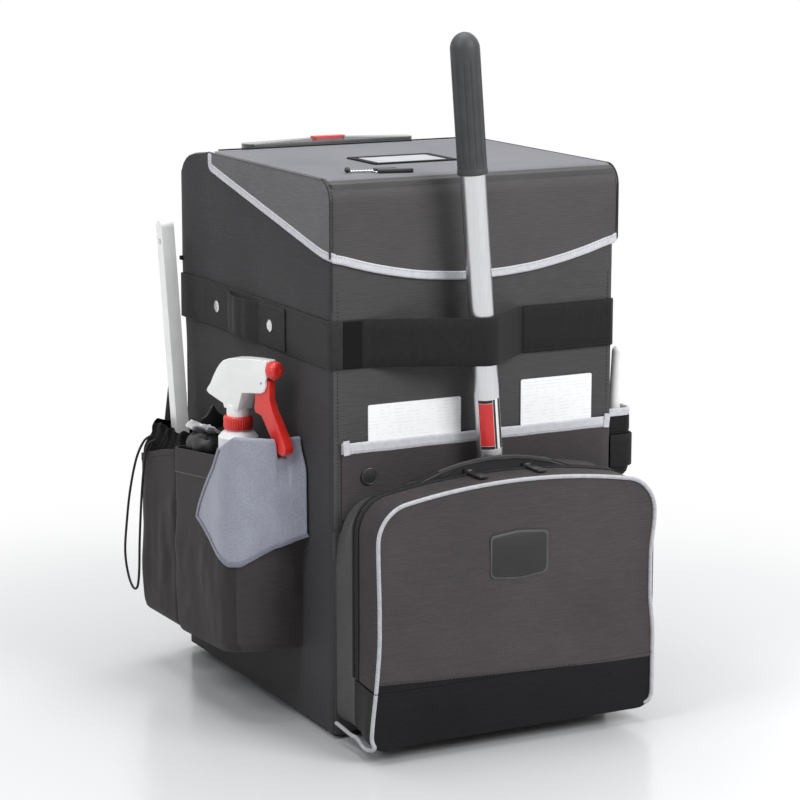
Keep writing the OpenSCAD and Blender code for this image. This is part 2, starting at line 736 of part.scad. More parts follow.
// Gathered collar: a flange inside the pocket's rim and a narrower neck above it
neck_in = 9;
neck_t = 4;
neck_top = 288;
module drawstring_collar() in_frame() color(black) difference() {
  union() {
    rounded_box(dx + cloth_t + 0.1, -x_side - back_t - 0.1, dy0 + cloth_t + 0.1, dy1 - cloth_t - 0.1,
      248, 262, 13.4);
    rounded_box(dx + neck_in, -x_side - 4, dy0 + neck_in, dy1 - neck_in, 261, neck_top, 13);
  }
  rounded_box(dx + neck_in + neck_t, -x_side - 4 - neck_t, dy0 + neck_in + neck_t,
    dy1 - neck_in - neck_t, 247, neck_top + eps, 10);
}

// Drawstring: a loop that hangs from the collar beside the pocket
cord_r = 1.5;
cord_points = [[-240.6, 168, 276], [-244, 169, 275.6], [-250, 175, 268], [-255, 187, 245],
  [-258, 201, 205], [-260, 209, 165], [-262, 212, 125], [-261, 206, 97], [-260, 193, 83], [-259, 181, 86],
  [-259, 174, 108], [-259, 170, 150], [-257, 166, 205], [-253.8, 163, 246], [-250, 160.5, 267.5],
  [-240.6, 158, 273]];

function catmull(p, i, t) = let(a = p[max(i - 1, 0)], b = p[i], c = p[i + 1], d = p[min(i + 2, len(p) - 1)])
  0.5 * (2 * b + (c - a) * t + (2 * a - 5 * b + 4 * c - d) * t * t + (3 * b - 3 * c + d - a) * t * t * t);
cord_steps = 5;
cord_path = concat([for (i = [0:len(cord_points) - 2], j = [0:cord_steps - 1])
  catmull(cord_points, i, j / cord_steps)], [cord_points[len(cord_points) - 1]]);
function unit(v) = v / norm(v);
function ring(c, t, r, n) = let(u = unit(cross(t, [0.1, 0.2, 1])), w = cross(t, u))
  [for (k = [0:n - 1]) c + r * (cos(360 * k / n) * u + sin(360 * k / n) * w)];

module swept_tube(path, r, n) {
  m = len(path);
  rings = [for (i = [0:m - 1]) ring(path[i], unit(path[min(i + 1, m - 1)] - path[max(i - 1, 0)]), r, n)];
  points = [for (q = rings, p = q) p];
  sides = [for (i = [0:m - 2], k = [0:n - 1]) each let(a = i * n + k, b = i * n + (k + 1) % n)
    [[a, b, b + n], [a, b + n, a + n]]];
  caps = [for (k = [1:n - 2]) each [[0, k + 1, k], [(m - 1) * n, (m - 1) * n + k, (m - 1) * n + k + 1]]];
  polyhedron(points, concat(sides, caps), convexity = 6);
}
module drawstring_cord() in_frame() color(black) swept_tube(cord_path, cord_r, 8);

// Cord lock: a small barrel pressed against the front of the collar
module cord_lock() in_frame() color("#8a6a48") translate([dx + neck_in + 15, dy0 + neck_in - 5, 262.3])
  rotate_extrude() polygon([[0, 0], [4.2, 0], [5, 1.5], [5, 14], [4, 15], [4, 18], [0, 18]]);

// ---------- tube pocket on the right ----------

ty0 = -204;
ty1 = ty0 + tube_pocket_w;
tx = x_side + tube_pocket_d;
tube_low_z = 255;
tube_top = 341;
// Square against the box, rounded on its outer corners
module tube_pocket_solid(grow, z0, z1) intersection() {
  rounded_box(x_side - 20, tx + grow, ty0 - min(grow, 2), ty1 + grow, z0, z1, 12);
  box(x_side, tx + 10, ty0 - 10, ty1 + 10, z0, z1);
}

module tube_space(z0, z1) rounded_box(x_side + 2, tx - 2, ty0 + 2, ty1 - 2, z0, z1, 10);

module tube_pocket() in_frame() color(black) difference() {
  union() {
    tube_pocket_solid(0, tube_low_z, tube_top);
    box(x_side, x_side + 2, ty0 + 4, ty1 - 4, tube_low_z + 20, belt_low - seat);
  }
  tube_space(tube_low_z + 3, tube_top + eps);
}

loop_t = 3;
module tube_loop() in_frame() color(black) difference() {
  tube_pocket_solid(loop_t, 269, 307);
  tube_pocket_solid(0, 268, 308);
}

wand_lean = 3.2;
module wand() in_frame() color(white)
  translate([x_side + 13.5, (ty0 + ty1) / 2, tube_low_z + 3 + seat + wand_dia / 2 * sin(wand_lean)])
    rotate([0, wand_lean, 0]) {
      cylinder(d = wand_dia, h = wand_len - wand_dia / 2);
      translate([0, 0, wand_len - wand_dia / 2]) sphere(d = wand_dia);
    }

// ---------- lid ----------

skirt_in = x_side + skirt_gap;
skirt_out = skirt_in + skirt_t;
skirt_y_in = y_front - skirt_gap;
skirt_y_out = skirt_y_in - skirt_t;
lid_rear = y_hinge - seat;
corner_z = lid_high - skirt_corner_drop;
rear_z = lid_high - skirt_rear_drop;
sag_r = (skirt_in * skirt_in + skirt_sag * skirt_sag) / (2 * skirt_sag);

module lid_top() in_frame() color(charcoal) {
  box(-skirt_out, skirt_out, skirt_y_out, lid_rear, lid_low, lid_high);
  box(-x_in + 1.5, x_in - 1.5, y_in_front + 2.5, y_hinge - 9, lid_low - board_t, lid_low + 1);
}

// Skirt outlines; drop moves the lower edge up by the binding's width
module front_skirt_outline(lift) intersection() {
  translate([-skirt_in, lid_low - 200]) square([2 * skirt_in, 200]);
  translate([0, corner_z - skirt_sag + sag_r]) circle(sag_r - lift, $fn = 180);
}
module side_skirt_outline(lift) polygon([[skirt_y_out, corner_z + lift], [skirt_y_in + 12, corner_z + lift],
  [lid_rear - 36, rear_z - 8 + lift], [lid_rear - (lift > 0 ? binding_w : 0), rear_z + lift],
  [lid_rear - (lift > 0 ? binding_w : 0), lid_low], [skirt_y_out, lid_low]]);

module lid_skirts() in_frame() color(charcoal) {
  sweep_y(skirt_y_out, skirt_t) front_skirt_outline(binding_w);
  both_sides() sweep_x(skirt_in, skirt_t) side_skirt_outline(binding_w);
}

module lid_binding() in_frame() color(grey) {
  difference() {
    sweep_y(skirt_y_out - 0.5, skirt_t + 0.5) front_skirt_outline(0);
    sweep_y(skirt_y_out - eps, skirt_t + 2 * eps) front_skirt_outline(binding_w);
  }
  both_sides() difference() {
    sweep_x(skirt_in, skirt_t + 0.5) side_skirt_outline(0);
    sweep_x(skirt_in - eps, skirt_t + 2 * eps) side_skirt_outline(binding_w);
  }
}

window_c = [-16, -58];
window_rim = 9;
module id_window() in_frame() color(black) difference() {
  rounded_box(window_c[0] - window_w / 2, window_c[0] + window_w / 2, window_c[1] - window_d / 2,
    window_c[1] + window_d / 2, lid_high, lid_high + 1.6, 4);
  box(window_c[0] - window_w / 2 + window_rim, window_c[0] + window_w / 2 - window_rim,
    window_c[1] - window_d / 2 + window_rim, window_c[1] + window_d / 2 - window_rim,
    lid_high + 0.6, lid_high + 3);
}

// Keys on a bead chain, lying on the lid
bead_r = 1.7;
key_ring_at = [-100, -164];
module key_set() in_frame() translate([0, 0, lid_high + seat]) {
  color(metal) for (i = [0:6]) translate([-136 + i * 4, -153 - i * 0.9, 0]) cylinder(r = bead_r, h = 3.2);
  color(metal) translate([-136, -153, 0]) rotate([0, 0, -12.7]) box(0, 31, -0.7, 0.7, 0, 1.2);
  color(black) translate([-140, -152, 0]) rotate_extrude()
    polygon([[0, 0], [2.5, 0], [3.8, 1.5], [3.8, 5], [2.5, 6.8], [0, 6.8]]);
  color(metal) translate([key_ring_at[0], key_ring_at[1], 0]) tube_z(9, 7.4, 0, 1.6);
  for (k = [[-8, 26], [-40, 40]]) translate([key_ring_at[0], key_ring_at[1], 0]) rotate([0, 0, k[0]]) {
    color(metal) box(8, 12, -2, 2, 0, 1.4);
    color(black) rounded_box(11, k[1], -5.5, 5.5, 0, 3.2, 3);
  }
}

// ---------- mop pole ----------

module along_pole() in_frame() translate(pole_foot) rotate([pole_lean_front, -pole_lean_left, 0]) children();

pole_wall = 1.5;
module pole_tube() along_pole() color(metal) difference() {
  cylinder(r = pole_r, h = pole_len - 20);
  translate([0, 0, 12]) cylinder(r = pole_r - pole_wall, h = pole_len);
}

grip_low_s = pole_len - pole_grip_len;
module pole_grip() along_pole() color("#2f3033") rotate_extrude() polygon(concat(
  [[pole_r, grip_low_s], [pole_grip_dia / 2, grip_low_s], [pole_grip_dia / 2, grip_low_s + 5],
   [pole_grip_dia / 2 - 1, grip_low_s + 6], [pole_grip_dia / 2 - 1, pole_len - pole_grip_dia / 2]],
  [for (a = [0:15:75]) [(pole_grip_dia / 2 - 1) * cos(a), pole_len - pole_grip_dia / 2 + (pole_grip_dia / 2) * sin(a)]],
  [[0, pole_len], [0, pole_len - 19.7], [pole_r, pole_len - 19.7]]));

// ---------- spray bottle ----------

bottle_c = [bottle_at[0], bottle_at[1], bottle_floor + seat];
step_r = 23;
neck_r = 13.8;
collar_low = bottle_h + 18;
collar_high = collar_low + collar_h;
shell_t = 1.6;
module at_bottle() in_frame() translate(bottle_c) children();

module spray_bottle() at_bottle() color(white) rotate_extrude() polygon(concat(
  [[0, 0], [bottle_r - 3, 0], [bottle_r, 3], [bottle_r, bottle_h - 34]],
  [for (a = [15:15:75]) [step_r + (bottle_r - step_r) * cos(a), bottle_h - 34 + 26 * sin(a)]],
  [[step_r, bottle_h - 8], [step_r, bottle_h + 9], [step_r - 4, bottle_h + 14], [neck_r, collar_low - 1],
   [neck_r, collar_high - 4], [neck_r - shell_t, collar_high - 4], [neck_r - shell_t, collar_low - 3],
   [step_r - 5.5, bottle_h + 12], [step_r - shell_t, bottle_h + 7], [step_r - shell_t, bottle_h - 8],
   [bottle_r - shell_t, bottle_h - 36], [bottle_r - shell_t, 5], [bottle_r - 4, shell_t], [0, shell_t]]));

module spray_collar() at_bottle() color(red) rotate_extrude() polygon([[neck_r + 0.1, collar_low],
  [collar_dia / 2, collar_low], [collar_dia / 2, collar_high - 1], [collar_dia / 2 - 1, collar_high],
  [head_neck_r + 0.1, collar_high], [head_neck_r + 0.1, collar_high - 3], [neck_r + 0.1, collar_high - 3]]);

// Spray head outlines in its own plane: first value forward, second up from the bottle's foot
head_neck_r = 13.1;
nose_a = 59;
pivot = [50, 309];
pivot_r = 2;
pivot_fit = 0.06;
trigger_t = 12;
pull_gap = trigger_t + 1.4;
aim_z = 324.7;
spigot_r = 4;
spigot_fit = 0.06;
nozzle_r = 10.2;
module spray_frame() at_bottle() rotate([90, 0, spray_turn - 90]) children();
module across(t) translate([0, 0, -t / 2]) linear_extrude(t) children();

module spray_head() {
  spray_frame() color(white) {
    difference() {
      across(head_t) polygon([[-12, 272], [-14, 277], [-40, 284.7], [-44, 287.5], [-42.5, 291],
        [-37, 297], [-31, 307], [-25.5, 315], [-20, 320.5], [-13, 326], [-3, 330.3], [12, 332.6],
        [34, 334.5], [nose_a, 335.5], [nose_a, 315.2], [57.5, 312], [57.8, 306], [54.5, 299.5], [49, 296.8],
        [40, 295.7], [30, 294.7], [20, 293.7], [18, 288.7], [14, 277], [12, 272]]);
      across(pull_gap) polygon([[22, 268], [28, 290], [31, 319], [62, 319], [62, 268]]);
    }
    translate([pivot[0], pivot[1], -head_t / 2 + 1]) cylinder(r = pivot_r, h = head_t - 2);
    translate([nose_a - 3, aim_z, 0]) rotate([0, 90, 0]) cylinder(r = spigot_r, h = 13);
  }
  at_bottle() color(white) {
    translate([0, 0, collar_high - 3.6]) cylinder(r = head_neck_r, h = 16);
    translate([0, 0, collar_high - 3.7]) cylinder(r = neck_r - 0.1, h = 0.5);
    translate([0, 0, 12]) cylinder(r = 3, h = collar_high);
  }
}

module trigger() spray_frame() color(red) difference() {
  across(trigger_t) polygon([[32.6, 310], [34, 312.6], [45, 314], [54, 314], [61.5, 311], [61.3, 291],
    [66, 280], [75.5, 264.7], [85, 249.7], [90.5, 238.7], [89.5, 233.7], [86, 230.2], [80.5, 230.7],
    [74, 237], [63, 251.7], [53, 265.2], [48, 271.2], [37, 273.7], [34.5, 278.7], [36, 288], [34, 300]]);
  across(trigger_t + 2 * eps) translate(pivot) circle(pivot_r + pivot_fit);
}

module nozzle() spray_frame() color(red) translate([nose_a + seat, aim_z, 0]) rotate([0, 90, 0]) difference() {
  union() {
    cylinder(r = nozzle_r - 1.4, h = 2);
    translate([0, 0, 1]) cylinder(r = nozzle_r, h = 9);
    translate([0, 0, 9.5]) cylinder(r = nozzle_r - 1.6, h = 4);
  }
  translate([0, 0, -eps]) cylinder(r = spigot_r + spigot_fit, h = 11);
}

// ---------- cloth over the bottle pocket's rim ----------

cloth_gap = 0.5;
cloth_sheet = 2.2;
function ramp(a, b, x) = max(0, min(1, (x - a) / (b - a)));
function lookup_y(y) = lookup(y, rim);
// Height of what the cloth is folded over: the rim, with the dip below the trigger
function rim_z(p) = let(d = abs(p[0] - notch_x), front = p[1] < by0 + 11 && p[0] > bx + 20 ? 1 : 0)
  front == 0 ? lookup_y(p[1]) : max(lookup_y(p[1]) - 30 * (1 - ramp(notch_w / 2 - 7.5, notch_w / 2 - 3.5, d)), notch_z);
// Point in plan at a distance s round the pocket's outer corner, o outside its face
function wrap(s, o) = let(q = corner_r * PI / 2)
  s < 0 ? [bx - o, by0 + corner_r - s] :
  s < q ? [bx + corner_r - (corner_r + o) * cos(s / q * 90), by0 + corner_r - (corner_r + o) * sin(s / q * 90)] :
  [bx + corner_r + s - q, by0 - o];
// Lower edge of the hanging corner of the cloth
cloth_edge = [[-59, 217], [-19.5, 196], [18.5, 175], [35.5, 177], [70.5, 198], [110, 214]];
function edge_z(s, i = 0) = i >= len(cloth_edge) - 2 || s <= cloth_edge[i + 1][0] ?
  let(a = cloth_edge[i], b = cloth_edge[i + 1], t = (s - a[0]) / (b[0] - a[0])) a[1] + t * (b[1] - a[1]) :
  edge_z(s, i + 1);
cloth_cols = 44;
s_left = -59;
s_right = 106;
function fold(s, t) = (0.5 + 0.5 * sin(s * 4.1 + 60 * t)) * 1.6 * t + 4 * t * (1 - t) * pow(ramp(70, 106, s), 2) * 5;
// The left side of the hanging part is drawn in towards the top
function s_at(u, t) = let(l = s_left + 63.5 * pow(1 - t, 1.5)) l + (s_right - l) * u;
cloth_rows = 8;
inner_drop = 30;
function cloth_column(u) = let(outer = [for (j = [0:cloth_rows]) let(t = 1 - j / cloth_rows, s = s_at(u, t),
    top = rim_z(wrap(s, 0)) + cloth_gap, z = top + (edge_z(s_at(u, 1)) - top) * t,
    p = wrap(s, cloth_gap + fold(s, t))) [p[0], p[1], z]],
  outside = [for (j = [0:cloth_rows]) let(t = 1 - j / cloth_rows, s = s_at(u, t),
    top = rim_z(wrap(s, 0)) + cloth_gap + cloth_sheet, z = top + (edge_z(s_at(u, 1)) - top) * t,
    p = wrap(s, cloth_gap + cloth_sheet + fold(s, t))) [p[0], p[1], z]],
  s0 = s_at(u, 0), top = rim_z(wrap(s0, 0)) + cloth_gap,
  pin = wrap(s0, -cloth_t - cloth_gap), pdeep = wrap(s0, -cloth_t - cloth_gap - cloth_sheet))
  concat(outside, [[pdeep[0], pdeep[1], top + cloth_sheet], [pdeep[0], pdeep[1], top - inner_drop],
    [pin[0], pin[1], top - inner_drop], [pin[0], pin[1], top]], reversed(outer));

module microfibre_cloth() in_frame() color("#9697a3") {
  columns = [for (i = [0:cloth_cols]) cloth_column(i / cloth_cols)];
  n = len(columns[0]);
  points = [for (c = columns, p = c) p];
  sides = [for (i = [0:cloth_cols - 1], k = [0:n - 1]) each let(a = i * n + k, b = i * n + (k + 1) % n)
    [[a, b + n, b], [a, a + n, b + n]]];
  strip = n / 2;
  caps = [for (k = [0:strip - 2]) each let(a = k, b = k + 1, c = n - 2 - k, d = n - 1 - k)
    [[a, b, c], [a, c, d]]];
  caps_end = [for (f = caps) [f[0] + cloth_cols * n, f[2] + cloth_cols * n, f[1] + cloth_cols * n]];
  polyhedron(points, concat(sides, caps, caps_end), convexity = 8);
}

// ---------- brush in the drawstring pocket ----------

brush_x = -x_side - 25;
brush_foot = [brush_x, 134, drawstring_floor + seat + 25 * sin(brush_lean) + 14 * sin(brush_lean_left)];
head_h = 66;
module at_brush() in_frame() translate(brush_foot) rotate([-brush_lean, -brush_lean_left, 0]) children();

module brush_handle() at_brush() color(white) translate([-brush_t / 2, 0, 0]) difference() {
  sweep_x(0, brush_t) {
    translate([-brush_w / 2, head_h]) square([brush_w, brush_len + 22 - brush_w / 2]);
    translate([0, head_h + brush_len + 22 - brush_w / 2]) circle(brush_w / 2);
    translate([-24, head_h]) square([48, 12]);
  }
  translate([-eps, 0, head_h + brush_len - 4]) rotate([0, 90, 0]) cylinder(r = 4, h = brush_t + 2 * eps);
}

module brush_head() at_brush() color("#1c1c1d")
  rounded_box(-14, 14, -25, 25, 0, head_h, 6);

bundle_y0 = 2;
bundle_top = 303;
bundle_r = 18;
module liner_bundle() in_frame() color(black)
  rounded_box(bx + 12, -x_side - back_t - 7, bundle_y0, by1 - 13, bottle_floor + seat, bundle_top, bundle_r);

side_walls();
front_wall();
rear_wall();
shoulder_cover();
mouth_frame();
rear_liner();
base_tray();
glide_feet();
wheel_housings();
wheel_axles();
handle_guides();
handle_bezel();
side_belts();
carry_handles();
handle_rivets();
front_strap();
slip_pocket();
pocket_trims();
pole_sleeve();
pocket_boot();
zip_track();
bottle_pocket();
drawstring_pocket();
drawstring_collar();
drawstring_cord();
cord_lock();
tube_pocket();
tube_loop();
lid_top();
lid_skirts();
lid_binding();
id_window();
key_set();
flap_panel();
flap_gusset();
flap_piping();
label_patch();
zip_pull_left();
zip_pull_right();
handle_grip();
handle_tubes();
handle_button();
tyre_left();
hub_left();
tyre_right();
hub_right();
spray_bottle();
spray_collar();
spray_head();
trigger();
nozzle();
microfibre_cloth();
pole_tube();
pole_grip();
brush_handle();
brush_head();
wand();
card_left();
card_right();
liner_bundle();
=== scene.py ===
"""Looks of a soft-sided housekeeping cart bag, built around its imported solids.

Sizes in the classes are millimetres in the bag's own frame: X to its right, Y to its rear and Z up from its
underside. ``Shop.point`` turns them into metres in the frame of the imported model.
"""

from __future__ import annotations

import json
import logging
from dataclasses import dataclass, field
from enum import Enum
from math import acos, asin, atan2, ceil, copysign, cos, hypot, pi, radians, sin, sqrt, tan
from typing import Callable, Iterable, Sequence

import bpy
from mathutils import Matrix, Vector, noise

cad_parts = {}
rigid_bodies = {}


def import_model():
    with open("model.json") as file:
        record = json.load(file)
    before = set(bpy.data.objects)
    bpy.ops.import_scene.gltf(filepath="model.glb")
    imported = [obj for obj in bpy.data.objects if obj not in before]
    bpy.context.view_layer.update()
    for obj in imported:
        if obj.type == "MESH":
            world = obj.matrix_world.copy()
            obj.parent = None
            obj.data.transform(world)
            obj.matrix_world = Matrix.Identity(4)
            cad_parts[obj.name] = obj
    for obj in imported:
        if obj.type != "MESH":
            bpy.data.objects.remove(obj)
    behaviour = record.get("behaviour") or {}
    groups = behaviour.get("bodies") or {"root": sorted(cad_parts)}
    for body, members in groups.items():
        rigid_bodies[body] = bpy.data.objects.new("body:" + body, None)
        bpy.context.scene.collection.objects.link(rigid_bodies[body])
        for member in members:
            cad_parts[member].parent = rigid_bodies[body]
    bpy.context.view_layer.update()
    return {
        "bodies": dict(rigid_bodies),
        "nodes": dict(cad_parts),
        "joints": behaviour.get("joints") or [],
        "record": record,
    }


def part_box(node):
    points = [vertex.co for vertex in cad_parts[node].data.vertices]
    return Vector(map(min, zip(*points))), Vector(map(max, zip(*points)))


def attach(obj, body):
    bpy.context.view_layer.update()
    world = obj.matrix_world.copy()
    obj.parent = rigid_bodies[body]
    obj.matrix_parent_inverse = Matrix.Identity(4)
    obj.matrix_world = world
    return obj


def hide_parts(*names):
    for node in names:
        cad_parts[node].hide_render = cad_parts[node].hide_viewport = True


LOG = logging.getLogger("cart_bag")
MM = 0.001
TAU = 2 * pi
MERGE = 0.00001  # metres: vertices nearer than this are one

Piece = bpy.types.Object
Tree = bpy.types.NodeTree
Socket = bpy.types.NodeSocket
Point = Sequence[float]
Pair = tuple[float, float]
Triple = tuple[float, float, float]
Shape = Callable[[float, float], Point]
Section = Sequence[Pair] | Callable[[int], Sequence[Pair]]


def linear(hex_colour: str) -> tuple[float, float, float, float]:
    """Turn an sRGB hex colour into the linear colour that the shaders take."""
    parts = [int(hex_colour.lstrip("#")[i : i + 2], 16) / 255 for i in (0, 2, 4)]
    r, g, b = (c / 12.92 if c <= 0.04045 else ((c + 0.055) / 1.055) ** 2.4 for c in parts)
    return r, g, b, 1.0


def clamp(value: float) -> float:
    """Keep a value between 0 and 1."""
    return max(0.0, min(1.0, value))


def smooth(low: float, high: float, value: float) -> float:
    """Rise smoothly from 0 at low to 1 at high."""
    t = clamp((value - low) / (high - low))
    return t * t * (3 - 2 * t)


def hump(start: float, full: float, fade: float, end: float, value: float) -> float:
    """Rise smoothly from 0 to 1 between start and full, and fall back to 0 between fade and end."""
    return smooth(start, full, value) * (1 - smooth(fade, end, value))


def lookup(table: Sequence[Pair], x: float) -> float:
    """Read a value from straight runs between the table's points."""
    if x <= table[0][0]:
        return table[0][1]
    for (xa, ya), (xb, yb) in zip(table, table[1:]):
        if x <= xb:
            return ya + (yb - ya) * (x - xa) / (xb - xa)
    return table[-1][1]


def ripple(p: Point, size: float, seed: float = 0.0) -> float:
    """Smooth noise between about -1 and 1 whose bumps are size millimetres wide."""
    return noise.noise(Vector((p[0] / size + seed, p[1] / size - seed, p[2] / size + 2 * seed)))


# ---------------------------------------------------------------- finishes


def add(tree: Tree, kind: str, inputs: dict | None = None, **settings: object) -> bpy.types.Node:
    """Add a node with its settings and links.

    Args:
        tree: The node tree that it goes into.
        kind: The node's type name, without ShaderNode before it.
        inputs: Values or output sockets for its input sockets, by name or number.
        **settings: Properties of the node itself.

    Returns:
        The new node.
    """
    node = tree.nodes.new("ShaderNode" + kind)
    for key, value in settings.items():
        setattr(node, key, value)
    for key, value in (inputs or {}).items():
        if isinstance(value, Socket):
            tree.links.new(value, node.inputs[key])
        else:
            node.inputs[key].default_value = value
    return node


def blank(name: str) -> tuple[bpy.types.Material, Tree]:
    """Make a material whose node tree is empty."""
    material = bpy.data.materials.new(name)
    material.use_nodes = True
    material.node_tree.nodes.clear()
    return material, material.node_tree


def close(tree: Tree, inputs: dict) -> None:
    """Close a material's tree with a Principled surface and its even values or sockets."""
    add(tree, "OutputMaterial", {"Surface": add(tree, "BsdfPrincipled", inputs).outputs[0]})


def spread(tree: Tree, scale: Point) -> Socket:
    """Object coordinates scaled per axis, in pattern repeats per metre."""
    where = add(tree, "TexCoord")
    mapping = add(tree, "Mapping", {"Vector": where.outputs["Object"], "Scale": scale})
    return mapping.outputs[0]


def shades(tree: Tree, factor: Socket, dark: str, light: str,
           low: float = 0.35, high: float = 0.65) -> Socket:
    """Colour between two shades, led by a factor."""
    ramp = add(tree, "ValToRGB", {"Fac": factor})
    ramp.color_ramp.elements[0].position, ramp.color_ramp.elements[1].position = low, high
    ramp.color_ramp.elements[0].color, ramp.color_ramp.elements[1].color = linear(dark), linear(light)
    return ramp.outputs["Color"]


@dataclass(frozen=True)
class WovenPolyester:
    """Coated 600-denier polyester: fine level ribs, small changes of shade along the threads and a dull sheen.

    Its real threads are about 0.4 mm apart, too fine to show, so every sixth one is drawn as a rib. ``run`` is how
    often the shade changes per metre along X, Y and Z: seldom along a thread and often across it.
    """

    name: str
    light: str
    dark: str
    rib: float = 2.4
    run: Triple = (55.0, 55.0, 620.0)
    rough: float = 0.72
    bump: float = 0.22
    gloss: float = 0.25
    sheen: float = 0.05

    def material(self) -> bpy.types.Material:
        """Make the material."""
        made, tree = blank(self.name)
        streak = add(tree, "TexNoise", {"Vector": spread(tree, self.run), "Scale": 1.0, "Detail": 3.0})
        patch = add(tree, "TexNoise", {"Vector": spread(tree, (9, 9, 9)), "Scale": 1.0, "Detail": 2.0})
        both = add(tree, "Math", {0: streak.outputs["Fac"], 1: patch.outputs["Fac"]}, operation="ADD")
        half = add(tree, "Math", {0: both.outputs[0], 1: 0.5}, operation="MULTIPLY")
        repeat = 1000 / self.rib / TAU * 2
        axis = "Z" if self.run[2] > self.run[1] else "Y"
        ribs = add(tree, "TexWave", {"Vector": spread(tree, (1, 1, 1)), "Scale": repeat, "Distortion": 0.6,
                                     "Detail": 1.0, "Detail Scale": 2.0}, bands_direction=axis)
        cross = add(tree, "TexNoise", {"Vector": spread(tree, (700, 700, 700)), "Scale": 1.0})
        grain = add(tree, "Math", {0: ribs.outputs["Fac"], 1: cross.outputs["Fac"]}, operation="ADD")
        bump = add(tree, "Bump", {"Strength": self.bump, "Distance": 0.0006, "Height": grain.outputs[0]})
        close(tree, {"Base Color": shades(tree, half.outputs[0], self.dark, self.light), "Normal": bump.outputs[0],
                     "Roughness": self.rough, "Specular IOR Level": self.gloss, "Sheen Weight": self.sheen,
                     "Sheen Roughness": 0.4})
        return made


@dataclass(frozen=True)
class WovenTape:
    """Nylon webbing or binding tape: ribs across the run, matt, slightly lighter along the rib tops as a painted
    highlight.

    A real rib is 0.6 to 0.9 mm wide. It is drawn at twice that, the finest that shows.
    """

    name: str
    light: str
    dark: str
    rib: float = 1.8
    axis: str = "DIAGONAL"
    rough: float = 0.8
    sheen: float = 0.04

    def material(self) -> bpy.types.Material:
        """Make the material."""
        made, tree = blank(self.name)
        ribs = add(tree, "TexWave", {"Vector": spread(tree, (1, 1, 1)), "Scale": 1000 / self.rib / TAU * 2,
                                     "Distortion": 0.4}, bands_direction=self.axis)
        patch = add(tree, "TexNoise", {"Vector": spread(tree, (160, 160, 160)), "Scale": 1.0, "Detail": 3.0})
        # Lighter along the rib tops: painted highlight; the patches are random tone.
        both = add(tree, "Math", {0: ribs.outputs["Fac"], 1: 0.35, 2: patch.outputs["Fac"]}, operation="MULTIPLY_ADD")
        bump = add(tree, "Bump", {"Strength": 0.3, "Distance": 0.0005, "Height": ribs.outputs["Fac"]})
        close(tree, {"Base Color": shades(tree, both.outputs[0], self.dark, self.light, 0.3, 1.0),
                     "Normal": bump.outputs[0], "Roughness": self.rough, "Specular IOR Level": 0.2,
                     "Sheen Weight": self.sheen})
        return made


@dataclass(frozen=True)
class Moulded:
    """Moulded plastic, rubber or film: spark texture of ``grain`` mm, faint change of shade, dull to glossy."""

    name: str
    light: str
    dark: str
    rough: float = 0.45
    grain: float = 0.5
    bump: float = 0.08
    coat: float = 0.0
    metallic: float = 0.0

    def material(self) -> bpy.types.Material:
        """Make the material."""
        made, tree = blank(self.name)
        patch = add(tree, "TexNoise", {"Vector": spread(tree, (35, 35, 35)), "Scale": 1.0, "Detail": 4.0})
        repeat = 1000 / self.grain / 2
        spark = add(tree, "TexNoise", {"Vector": spread(tree, (repeat,) * 3), "Scale": 1.0, "Detail": 2.0})
        bump = add(tree, "Bump", {"Strength": self.bump, "Distance": 0.0004, "Height": spark.outputs["Fac"]})
        wear = add(tree, "MapRange", {"Value": patch.outputs["Fac"], "To Min": self.rough * 0.88,
                                      "To Max": min(1.0, self.rough * 1.12)})
        close(tree, {"Base Color": shades(tree, patch.outputs["Fac"], self.dark, self.light),
                     "Normal": bump.outputs[0], "Roughness": wear.outputs[0], "Coat Weight": self.coat,
                     "Metallic": self.metallic})
        return made


@dataclass(frozen=True)
class DrawnMetal:
    """Anodised aluminium or plated steel: lines about 1 mm apart along the drawing direction and a satin shine."""

    name: str
    light: str
    dark: str
    rough: float = 0.3
    lines: Triple = (900.0, 900.0, 6.0)

    def material(self) -> bpy.types.Material:
        """Make the material."""
        made, tree = blank(self.name)
        drawn = add(tree, "TexNoise", {"Vector": spread(tree, self.lines), "Scale": 1.0, "Detail": 3.0})
        bump = add(tree, "Bump", {"Strength": 0.06, "Distance": 0.0003, "Height": drawn.outputs["Fac"]})
        close(tree, {"Base Color": shades(tree, drawn.outputs["Fac"], self.dark, self.light),
                     "Normal": bump.outputs[0], "Roughness": self.rough, "Metallic": 1.0})
        return made


@dataclass(frozen=True)
class KnittedMicrofibre:
    """Split-fibre knit: soft short pile with a broad sheen and cloudy shade where the pile lies different ways."""

    name: str
    light: str
    dark: str

    def material(self) -> bpy.types.Material:
        """Make the material."""
        made, tree = blank(self.name)
        cloud = add(tree, "TexNoise", {"Vector": spread(tree, (28, 28, 28)), "Scale": 1.0, "Detail": 5.0})
        pile = add(tree, "TexNoise", {"Vector": spread(tree, (620, 620, 620)), "Scale": 1.0, "Detail": 2.0})
        both = add(tree, "Math", {0: cloud.outputs["Fac"], 1: 0.7, 2: pile.outputs["Fac"]}, operation="MULTIPLY_ADD")
        bump = add(tree, "Bump", {"Strength": 0.35, "Distance": 0.0008, "Height": pile.outputs["Fac"]})
        close(tree, {"Base Color": shades(tree, both.outputs[0], self.dark, self.light, 0.6, 1.1),
                     "Normal": bump.outputs[0], "Roughness": 0.92, "Sheen Weight": 0.35})
        return made


